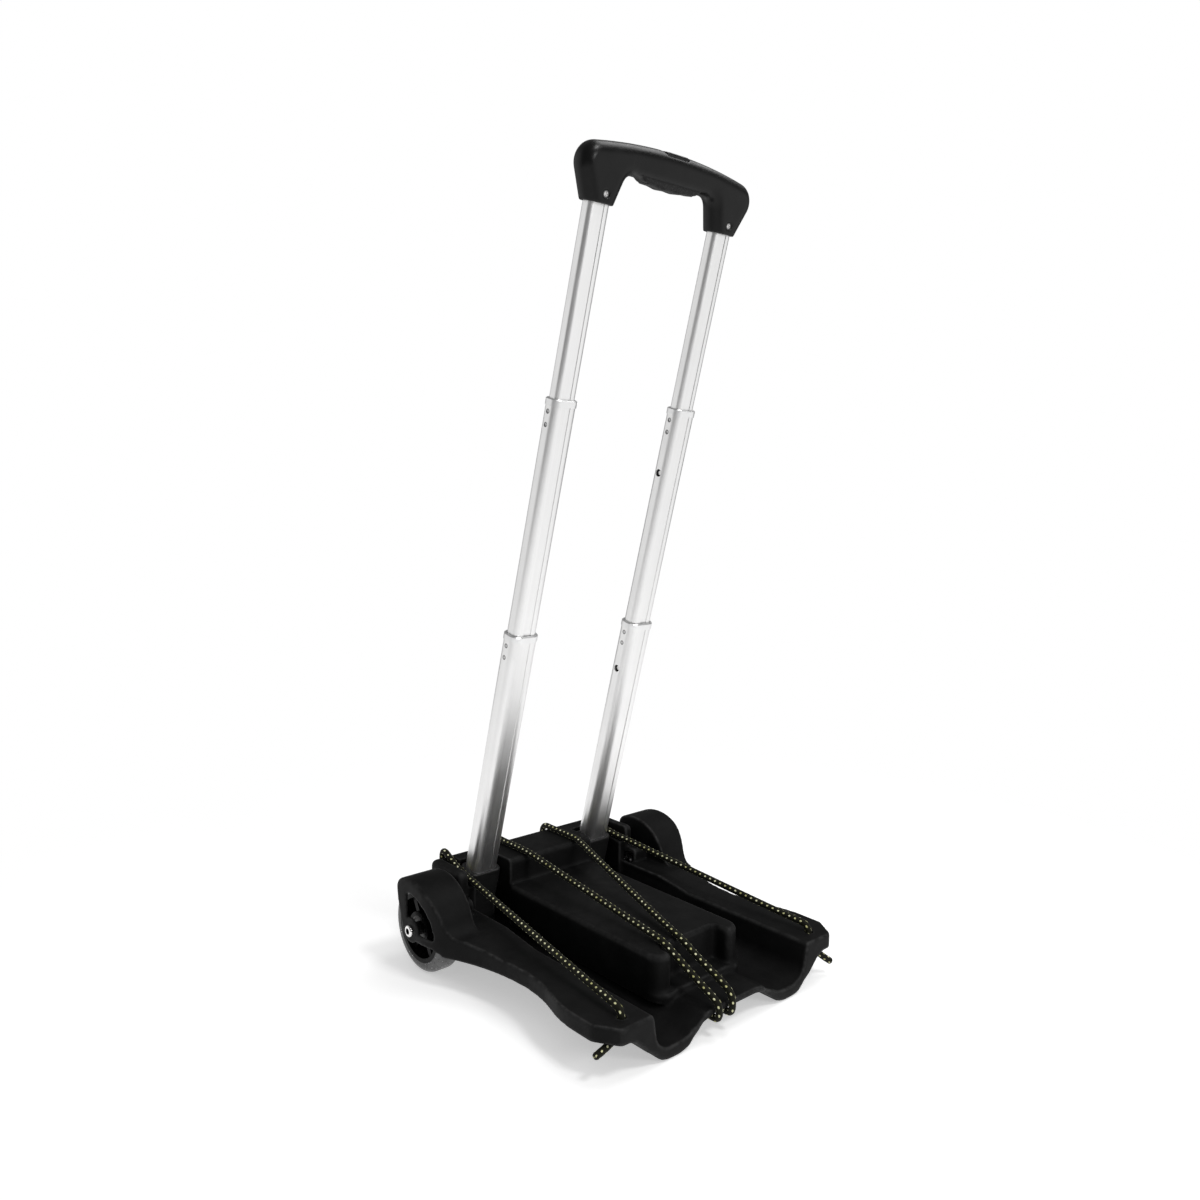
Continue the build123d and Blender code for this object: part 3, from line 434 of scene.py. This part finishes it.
def collar_silver():
    """Silver-grey moulded collar with a slight pearl."""
    f = Finish("collar_silver", metallic=0.9, specular_ior_level=0.5)
    point = f.place()
    pearl = f.noise(point, 1900)
    body = f.mix(f.spread(pearl), grey(0.78), grey(0.86))
    # paler edges: partly rubbed wear, partly a painted highlight along the edges
    rubbed_and_highlit_edges = f.calc("MULTIPLY", f.edges(0.52, 0.6), 0.5)
    f.set("base color", f.mix(rubbed_and_highlit_edges, body, grey(0.92)))
    f.set("roughness", f.spread(f.noise(point, 240, detail=4), 0.30, 0.42))
    f.set("normal", f.bump(pearl, strength=0.12, depth=0.00004))
    return f.material


def turned_steel():
    """Plated steel with faint turning marks and handling haze."""
    f = Finish("turned_steel", metallic=1.0)
    haze, plate = hazed_plate(f, 0.60, 0.78)
    f.set("base color", plate)
    f.set("roughness", f.spread(haze, 0.16, 0.34))
    marks = f.noise(f.place((5200, 900, 900)))
    f.set("normal", f.bump(marks, strength=0.15, depth=0.00003))
    return f.material


def screw_steel():
    """Plated screw, bright in the middle of its head, with painted shade dark round the rim."""
    f = Finish("screw_steel", metallic=1.0)
    haze, plate = hazed_plate(f, 0.55, 0.75)
    across, _, along = frame_place(f)
    aside = f.calc("SUBTRACT", f.calc("ABSOLUTE", across), SCREW_X)
    away = f.distance(aside, f.calc("SUBTRACT", along, SCREW_STATION))
    # painted shade round the rim of the screw head
    f.set("base color", f.mix(f.span(away, *SCREW_SHADE_RIM), plate, grey(0.08)))
    f.set("roughness", f.spread(haze, 0.18, 0.34))
    return f.material


def bolt_steel():
    """Bright plated bolt whose hex socket is painted dark as shade."""
    f = Finish("bolt_steel", metallic=1.0)
    haze, plate = hazed_plate(f, 0.78, 0.90)
    # painted shade fills the hex socket
    socket = f.span(axle_distance(f), *SOCKET_SHADE_EDGE, 1.0, 0.0)
    f.set("base color", f.mix(socket, plate, grey(0.020)))
    f.set("roughness", f.spread(haze, 0.14, 0.30))
    marks = f.noise(f.place((900, 5200, 5200)))
    f.set("normal", f.bump(marks, strength=0.10, depth=0.00003))
    return f.material


def bearing_shield():
    """Dark oiled steel of a bearing's rings and shields."""
    f = Finish("bearing_shield", metallic=1.0)
    film = f.noise(f.place(), 260, detail=4, roughness=0.6)
    f.set("base color", f.mix(f.spread(film), grey(0.030), grey(0.060, 0.03)))
    f.set("roughness", f.spread(film, 0.26, 0.42))
    marks = f.noise(f.place((4200, 800, 800)))
    f.set("normal", f.bump(marks, strength=0.12, depth=0.00003))
    return f.material


def tyre_urethane():
    """Smoke-grey clear urethane, deeper towards the hub, with small bright specks in it."""
    f = Finish(
        "tyre_urethane",
        ior=1.45,
        subsurface_weight=0.35,
        subsurface_radius=(0.004, 0.004, 0.004),
        subsurface_scale=1.0,
        coat_weight=0.25,
        coat_roughness=0.2,
    )
    point = f.place()
    cloud = f.noise(point, 90, detail=4, roughness=0.6)
    clear = f.mix(f.spread(cloud), grey(0.11), grey(0.21))
    deep = f.span(axle_distance(f), *TYRE_DEPTH, 1.0, 0.0)
    smoke = f.mix(deep, clear, grey(0.022))
    speck = f.span(f.cells(point, 420), 0.12, 0.28, 1.0, 0.0)
    some = f.span(f.noise(point, 150), 0.51, 0.57)
    f.set("base color", f.mix(f.calc("MULTIPLY", speck, some), smoke, grey(0.75)))
    f.set("roughness", f.spread(f.noise(point, 420, detail=4), 0.22, 0.42))
    f.set("normal", f.bump(f.noise(point, 700, detail=3), strength=0.12, depth=0.0001))
    return f.material


def dark_nylon():
    """Charcoal nylon with a fine grain and faint flow streaks."""
    f = Finish("dark_nylon", specular_ior_level=0.4)
    streak = f.noise(f.place((60, 400, 400)), detail=4, roughness=0.6)
    fine = f.noise(f.place(), 2600)
    f.set("base color", f.mix(f.spread(streak), grey(0.008), grey(0.016)))
    f.set("roughness", f.spread(fine, 0.36, 0.48))
    f.set("normal", f.bump(fine, strength=0.2, depth=0.00005))
    return f.material


def cord_braid():
    """Black braided sheath with rows of pale yellow tracer flecks."""
    f = Finish("cord_braid", specular_ior_level=0.12, sheen_weight=0.06, sheen_roughness=0.45)
    strand = f.add("UVMap", uv_map="strand").outputs[0]
    along, around, _ = f.add("SeparateXYZ", {0: strand}).outputs
    rows = f.calc("MULTIPLY", around, FLECK_ROWS)
    row = f.calc("FLOOR", rows)
    across = f.calc("SUBTRACT", f.calc("FRACT", rows), 0.5)
    stagger = f.calc("MULTIPLY", f.calc("MODULO", row, 2.0), 0.5)
    cell = f.calc("ADD", along, stagger)
    ahead = f.calc("SUBTRACT", f.calc("FRACT", cell), 0.5)
    slant = f.calc("ADD", ahead, f.calc("MULTIPLY", across, FLECK_SLANT))
    wide = f.calc("MULTIPLY", slant, FLECK_PITCH / FLECK_HALF_LENGTH)
    high = f.calc("MULTIPLY", across, FLECK_ROW_WIDTH / FLECK_HALF_WIDTH)
    fleck = f.span(f.squares(wide, high), *FLECK_EDGE, 1.0, 0.0)
    index = f.add("CombineXYZ", {0: f.calc("FLOOR", cell), 1: row}).outputs[0]
    chance = f.add("TexWhiteNoise", {"Vector": index}, noise_dimensions="2D").outputs[0]
    yarn = f.mix(chance, *FLECK_COLOURS)
    fuzz = f.noise(f.place(), 1500, detail=3, roughness=0.7)
    black = f.mix(f.spread(fuzz), *SHEATH_COLOURS)
    f.set("base color", f.mix(fleck, black, yarn))
    f.set("roughness", f.spread(fuzz, 0.55, 0.8))
    weave = {"Vector": f.place(turn=(0.6, 0.5, 0.3)), "Scale": 900, "Distortion": 3.0}
    fibres = f.add("TexWave", weave).outputs["Fac"]
    f.set("normal", f.bump(fibres, strength=0.3, depth=0.0001))
    return f.material


BASE_PLASTIC = moulded_plastic(
    "base_plastic",
    dark=0.0038,
    light=0.0072,
    rough=0.54,
    gloss=0.09,
    edge_rub_and_highlight=0.85,
    grain=1500,
    depth=0.00009,
)
HANDLE_PLASTIC = moulded_plastic(
    "handle_plastic",
    dark=0.0020,
    light=0.0036,
    rough=0.32,
    gloss=0.23,
    edge_rub_and_highlight=0.20,
    grain=2200,
    depth=0.00003,
)
HUB_PLASTIC = moulded_plastic(
    "hub_plastic",
    dark=0.0020,
    light=0.0036,
    rough=0.24,
    gloss=0.06,
    edge_rub_and_highlight=0.06,
    grain=2400,
    depth=0.00004,
)
GRIP = rubber_grip()
TUBE = anodised_tube()
COLLAR = collar_silver()
STEEL = turned_steel()
SCREW = screw_steel()
BOLT = bolt_steel()
BEARING = bearing_shield()
TYRE = tyre_urethane()
NYLON = dark_nylon()
BRAID = cord_braid()

# Finish of each CAD node, by how its name starts
NODE_FINISH = {
    "base_shell": BASE_PLASTIC,
    "handle_body": HANDLE_PLASTIC,
    "release_button": HANDLE_PLASTIC,
    "grip_insert": GRIP,
    "hub_": HUB_PLASTIC,
    "tyre_": TYRE,
    "handle_screws": SCREW,
    "axle_bolts": BOLT,
    "bearings_": BEARING,
    "bearing_spacer_": BEARING,
    "lower_tube_": TUBE,
    "middle_tube_": TUBE,
    "upper_tube_": TUBE,
    "lower_collar_": COLLAR,
    "middle_collar_": COLLAR,
    "hinge_block_": NYLON,
    "middle_plug_": NYLON,
    "upper_plug_": NYLON,
    "release_bridge": NYLON,
    "cord_stops": NYLON,
    "wheel_spacers": NYLON,
}


def dress_nodes():
    """Give every CAD node its finish; what isn't listed is steel."""
    for name, node in NODES.items():
        finish = STEEL
        for start, material in NODE_FINISH.items():
            if name.startswith(start):
                finish = material
        for slot in node.material_slots:
            slot.link = "OBJECT"
            slot.material = finish


# Mouldings


def add_piece(name, mesh, finish, body, slot, *nodes):
    """A new piece that rides on a body and stands for CAD nodes."""
    piece = bpy.data.objects.new(name, mesh)
    bpy.context.scene.collection.objects.link(piece)
    mesh.materials.clear()
    mesh.materials.append(finish)
    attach(piece, body)
    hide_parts(*nodes)
    return piece


def evaluated_mesh(thing):
    """The mesh of an object with its modifiers applied."""
    bpy.context.view_layer.update()
    depsgraph = bpy.context.evaluated_depsgraph_get()
    return bpy.data.meshes.new_from_object(thing.evaluated_get(depsgraph))


def keep_outer_skin(mesh):
    """Take out the skins of sealed hollows, which nothing shows."""
    work = bmesh.new()
    work.from_mesh(mesh)
    left = set(work.verts)
    skins = []
    while left:
        skin = {left.pop()}
        front = list(skin)
        while front:
            near = {edge.other_vert(vert) for vert in front for edge in vert.link_edges}
            front = [vert for vert in near if vert in left]
            left.difference_update(front)
            skin.update(front)
        skins.append(skin)
    skins.sort(key=len)
    for skin in skins[:-1]:
        bmesh.ops.delete(work, geom=list(skin), context="VERTS")
    work.to_mesh(mesh)
    work.free()


def softened(nodes, voxel, rounds, swell=0.0):
    """CAD nodes' meshes as one skin, with its edges rounded as a moulding's are."""
    work = bmesh.new()
    for node in nodes:
        work.from_mesh(NODES[node].data)
    joined = bpy.data.meshes.new("draft")
    work.to_mesh(joined)
    work.free()
    draft = bpy.data.objects.new("draft", joined)
    bpy.context.scene.collection.objects.link(draft)
    remesh = draft.modifiers.new("remesh", "REMESH")
    remesh.mode = "VOXEL"
    remesh.voxel_size = voxel
    smooth = draft.modifiers.new("smooth", "SMOOTH")
    smooth.factor = SMOOTH_FACTOR
    smooth.iterations = rounds
    if swell:
        grow = draft.modifiers.new("grow", "DISPLACE")
        grow.mid_level = 0.0
        grow.strength = swell
    mesh = evaluated_mesh(draft)
    bpy.data.objects.remove(draft)
    keep_outer_skin(mesh)
    mesh.shade_smooth()
    return mesh


def mesh_points(mesh):
    """Vertex positions of a mesh, one row each."""
    points = np.empty(len(mesh.vertices) * 3, np.float32)
    mesh.vertices.foreach_get("co", points)
    return points.reshape(-1, 3)


def set_points(mesh, points):
    """Give the vertices of a mesh new positions."""
    mesh.vertices.foreach_set("co", points.astype(np.float32).ravel())
    mesh.update()


def handle_places(points):
    """How far out from the middle, through and along the handle frame points are."""
    behind, above = points[:, 1] - HINGE_AT[1], points[:, 2] - HINGE_AT[2]
    through = np.abs(behind * math.cos(LEAN) + above * math.sin(LEAN))
    station = above * math.cos(LEAN) - behind * math.sin(LEAN)
    return np.abs(points[:, 0]), through, station


def raise_points(points, rise):
    """Move points along the handle frame."""
    points[:, 1] -= rise * math.sin(LEAN)
    points[:, 2] += rise * math.cos(LEAN)


def round_troughs(mesh):
    """Round the corners of the tray's section further towards its front."""
    points = mesh_points(mesh)
    side = np.sign(points[:, 0])
    fade = np.clip((ROUND_END - points[:, 1]) / (ROUND_END - ROUND_FULL), 0, 1)
    moved = points.copy()
    for x, z, turn_x, turn_z, amount, reach in TROUGH_CORNERS:
        away = np.hypot(np.abs(points[:, 0]) - x, points[:, 2] - z) / reach
        share = np.clip(1 - away**2, 0, 1) ** 2 * amount * fade
        moved[:, 0] += share * turn_x * side
        moved[:, 2] += share * turn_z
    moved[:, 2] = np.maximum(moved[:, 2], min(0.0, points[:, 2].min()))
    set_points(mesh, moved)


def ease_throats(mesh):
    """Smooth the handle where the bar turns into its legs."""
    points = mesh_points(mesh).astype(np.float64)
    edges = np.empty(len(mesh.edges) * 2, np.int32)
    mesh.edges.foreach_get("vertices", edges)
    edges = edges.reshape(-1, 2)
    out, _, station = handle_places(points)
    away = np.hypot(out - THROAT_X, station - THROAT_STATION) / THROAT_REACH
    share = (THROAT_PULL * np.clip(THROAT_SLOPE * (1 - away), 0, 1))[:, None]
    near = edges[(away < 1)[edges].any(axis=1)]
    own, other = np.concatenate([near, near[:, ::-1]]).T
    total = len(points)
    count = np.maximum(np.bincount(own, minlength=total), 1)
    for _ in range(THROAT_ROUNDS):
        sums = [np.bincount(own, points[other, axis], minlength=total) for axis in range(3)]
        points += share * (np.stack(sums, axis=1) / count[:, None] - points)
    set_points(mesh, points)


def clear_button(mesh):
    """Keep the floor of the button's recess flat and low enough for the pressed button."""
    points = mesh_points(mesh)
    out, through, station = handle_places(points)
    past = [
        np.clip(value - half + RECESS_CORNER, 0, None)
        for value, half in ((out, RECESS_HALF_LENGTH), (through, RECESS_HALF_WIDTH))
    ]
    above_floor = station - RECESS_FLOOR
    inside = (np.hypot(*past) < RECESS_CORNER) & (np.abs(above_floor) < RECESS_BAND)
    drop = np.where(inside, np.clip(above_floor + RECESS_SPARE, 0, None), 0)
    raise_points(points, -drop)
    set_points(mesh, points)


def end_strip(mesh, sink=0.0, ceiling=math.inf):
    """Let the ends of the finger strip run out into the round of the bar."""
    points = mesh_points(mesh)
    out, through, station = handle_places(points)
    past = np.clip(through - BAR_FLAT, 0, BAR_ROUND)
    bar = GRIP_BOTTOM + BAR_ROUND - np.sqrt(BAR_ROUND**2 - past**2)
    proud = np.clip((STRIP_END - out) / (STRIP_END - STRIP_FULL), 0, 1) * STRIP_PROUD
    strip = (out < STRIP_HALF) & (through < STRIP_SIDE)
    strip &= np.abs(station - GRIP_BOTTOM) < STRIP_PROUD
    kept = np.minimum(np.maximum(station, bar + sink - proud), ceiling)
    raise_points(points, np.where(strip, kept - station, 0))
    set_points(mesh, points)


# Cord


def spline_points(points):
    """Points along the NURBS spline of a route."""
    curve = bpy.data.curves.new("route", "CURVE")
    curve.dimensions = "3D"
    spline = curve.splines.new("NURBS")
    spline.points.add(len(points) - 1)
    for knot, point in zip(spline.points, points):
        knot.co = (*point, 1.0)
    spline.order_u = 3
    spline.use_endpoint_u = True
    spline.resolution_u = SPLINE_STEPS
    draft = bpy.data.objects.new("route", curve)
    bpy.context.scene.collection.objects.link(draft)
    bpy.context.view_layer.update()
    mesh = bpy.data.meshes.new_from_object(draft)
    line = np.array([vertex.co for vertex in mesh.vertices])
    bpy.data.objects.remove(draft)
    return line


def even_steps(line, step):
    """Points at even steps along a line, and how far along each one is."""
    runs = np.linalg.norm(np.diff(line, axis=0), axis=1)
    far = np.concatenate([[0.0], np.cumsum(runs)])
    stops = np.linspace(0.0, far[-1], int(far[-1] / step) + 1)
    points = np.stack([np.interp(stops, far, line[:, axis]) for axis in range(3)], axis=1)
    return points, stops


def carried_frames(points):
    """Two directions across the line at each point, turned as little as possible."""
    ahead = np.gradient(points, axis=0)
    ahead /= np.linalg.norm(ahead, axis=1)[:, None]
    side = np.cross(ahead[0], (0.0, 0.0, 1.0))
    sides = []
    for direction in ahead:
        side = side - direction * side.dot(direction)
        side = side / np.linalg.norm(side)
        sides.append(side)
    sides = np.array(sides)
    return sides, np.cross(ahead, sides)


def cord_rings(points, stops):
    """Rings of the braided tube along the points, drawn in a little at the cut ends."""
    sides, ups = carried_frames(points)
    turn = np.arange(CORD_SIDES) * (2 * math.pi / CORD_SIDES)
    lead = (2 * math.pi / BRAID_PITCH * stops)[:, None]
    weave = np.sin(BRAID_STARTS * turn + lead) * np.sin(BRAID_STARTS * turn - lead)
    radius = CORD_DIAMETER / 2 - BRAID_RELIEF + BRAID_RELIEF * weave
    from_end = np.minimum(stops, stops[-1] - stops)
    full = np.clip(from_end / CUT_ROUND, 0, 1) ** 0.5
    radius *= (CUT_SHARE + (1 - CUT_SHARE) * full)[:, None]
    turn = turn[None, :, None]
    across = np.cos(turn) * sides[:, None] + np.sin(turn) * ups[:, None]
    return points[:, None] + radius[:, :, None] * across


def cord_mesh(points, stops):
    """Braided tube along the points, with its length and turn as UVs."""
    verts = [tuple(v) for v in cord_rings(points, stops).reshape(-1, 3)]
    lengths = stops / FLECK_PITCH
    faces = []
    uvs = []
    for i in range(len(points) - 1):
        row, after = i * CORD_SIDES, (i + 1) * CORD_SIDES
        low, high = lengths[i], lengths[i + 1]
        for j in range(CORD_SIDES):
            k = (j + 1) % CORD_SIDES
            faces.append((row + j, row + k, after + k, after + j))
            left, right = j / CORD_SIDES, (j + 1) / CORD_SIDES
            uvs += [(low, left), (low, right), (high, right), (high, left)]
    for ring, order in ((0, -1), (len(points) - 1, 1)):
        verts.append(tuple(points[ring]))
        row = ring * CORD_SIDES
        for j in range(CORD_SIDES):
            pair = (row + j, row + (j + 1) % CORD_SIDES)
            faces.append((*pair[::order], len(verts) - 1))
            uvs += [(lengths[ring], j / CORD_SIDES)] * 3
    mesh = bpy.data.meshes.new("bungee")
    mesh.from_pydata(verts, [], faces)
    layer = mesh.uv_layers.new(name="strand")
    layer.data.foreach_set("uv", np.array(uvs, np.float32).ravel())
    mesh.shade_smooth()
    return mesh


def make_cord():
    """The bungee cord, one piece from cut end to cut end."""
    other_side = [(-x, y, z) for x, y, z in reversed(CORD_SIDE)]
    route = [CORD_LEFT_END] + CORD_SIDE + CORD_HOOK + other_side + [CORD_RIGHT_END]
    points, stops = even_steps(spline_points(route), CORD_STEP)
    tube = cord_mesh(points, stops)
    cord = add_piece("bungee", tube, BRAID, "base", "cord_fabric", "bungee_cord")


# Camera, light and floor


def make_camera():
    """The camera at the photograph's place and angle."""
    sine, cosine = math.sin(CAMERA_TURN), math.cos(CAMERA_TURN)
    level = math.cos(CAMERA_DOWN)
    ahead = Vector((sine * level, cosine * level, -math.sin(CAMERA_DOWN)))
    right = Vector((cosine, -sine, 0.0))
    up = right.cross(ahead)
    rolled_right = right * math.cos(CAMERA_ROLL) + up * math.sin(CAMERA_ROLL)
    rolled_up = up * math.cos(CAMERA_ROLL) - right * math.sin(CAMERA_ROLL)
    data = bpy.data.cameras.new("camera")
    data.sensor_width = SENSOR_MM
    data.lens = FOCAL_PIXELS / IMAGE_SIDE * SENSOR_MM
    data.clip_start = CLIP_START
    data.clip_end = CLIP_END
    camera = bpy.data.objects.new("camera", data)
    turn = Matrix((rolled_right, rolled_up, -ahead)).transposed().to_4x4()
    camera.matrix_world = Matrix.Translation(CAMERA_AT) @ turn
    bpy.context.scene.collection.objects.link(camera)
    bpy.context.scene.camera = camera


def make_world():
    """Even pale light, white where it is seen; reflections show two bright walls."""
    world = bpy.data.worlds.new("world")
    world.use_nodes = True
    bpy.context.scene.world = world
    n = Nodes(world.node_tree)
    direction = n.add("TexCoord").outputs["Generated"]
    shown = n.add("LightPath").outputs["Is Camera Ray"]
    for side, brightness in WALLS:
        pair = {0: direction, 1: Vector(side).normalized()}
        toward = n.add("VectorMath", pair, operation="DOT_PRODUCT").outputs["Value"]
        wall = n.span(
            toward,
            math.cos(WALL_OUTER),
            math.cos(WALL_INNER),
            BETWEEN_WALLS,
            brightness,
            interpolation_type="SMOOTHSTEP",
        )
        shown = n.calc("MAXIMUM", shown, wall)
    background = n.tree.nodes["Background"]
    background.inputs["Color"].default_value = WHITE
    level = n.span(n.seen_directly(), 0.0, 1.0, WORLD_LEVEL, shown)
    n.feed(background.inputs["Strength"], level)


def soft_lamp(name, place, target, size, power):
    """A square soft box that faces a point."""
    data = bpy.data.lights.new(name, "AREA")
    data.size = size
    data.energy = power
    lamp = bpy.data.objects.new(name, data)
    lamp.location = place
    lamp.rotation_mode = "QUATERNION"
    lamp.rotation_quaternion = (Vector(target) - Vector(place)).to_track_quat("-Z", "Y")
    bpy.context.scene.collection.objects.link(lamp)


def make_floor():
    """Pale floor that keeps the shadow and fades to white."""
    mesh = bpy.data.meshes.new("floor")
    turns = [2 * math.pi * i / FLOOR_STEPS for i in range(FLOOR_STEPS)]
    ring = [
        (FLOOR_RADIUS * math.cos(turn), FLOOR_RADIUS * math.sin(turn), FLOOR_Z) for turn in turns
    ]
    mesh.from_pydata(ring, [], [tuple(range(FLOOR_STEPS))])
    floor = bpy.data.objects.new("floor", mesh)
    bpy.context.scene.collection.objects.link(floor)
    f = Finish("floor_paper", roughness=0.9, specular_ior_level=0.1)
    point = f.place()
    paper = f.shader.outputs[0]
    f.set("base color", f.mix(f.noise(point, 700, detail=3), grey(0.80), grey(0.82)))
    white = f.add("Emission", {"Color": WHITE, "Strength": 1.0}).outputs[0]
    glow = f.add("Emission", {"Color": WHITE, "Strength": FLOOR_GLOW}).outputs[0]
    lit = f.add("AddShader", {0: paper, 1: glow}).outputs[0]
    far = f.add("VectorMath", {0: point}, operation="LENGTH").outputs["Value"]
    fade = f.add("MixShader", {0: f.span(far, *FLOOR_FADE), 1: lit, 2: white}).outputs[0]
    shown = f.add("MixShader", {0: f.seen_directly(), 1: paper, 2: fade}).outputs[0]
    f.feed(f.tree.nodes["Material Output"].inputs["Surface"], shown)
    mesh.materials.append(f.material)


bpy.context.scene.view_settings.view_transform = "Standard"
make_camera()
make_world()
make_floor()
for lamp in LAMPS:
    soft_lamp(*lamp)
dress_nodes()
make_cord()

base = softened(["base_shell"], *BASE_SKIN)
round_troughs(base)
add_piece("base_moulding", base, BASE_PLASTIC, "base", "black_plastic", "base_shell")

handle = softened(["handle_body", "grip_insert"], *HANDLE_SKIN)
end_strip(handle)
ease_throats(handle)
clear_button(handle)
add_piece("handle_moulding", handle, HANDLE_PLASTIC, "upper_frame", "black_plastic", "handle_body")

grip = softened(["grip_insert"], *GRIP_SKIN, swell=GRIP_SWELL)
end_strip(grip, STRIP_SINK, GRIP_BOTTOM + STRIP_TOP)
add_piece("finger_grip", grip, GRIP, "upper_frame", "grip_rubber", "grip_insert")
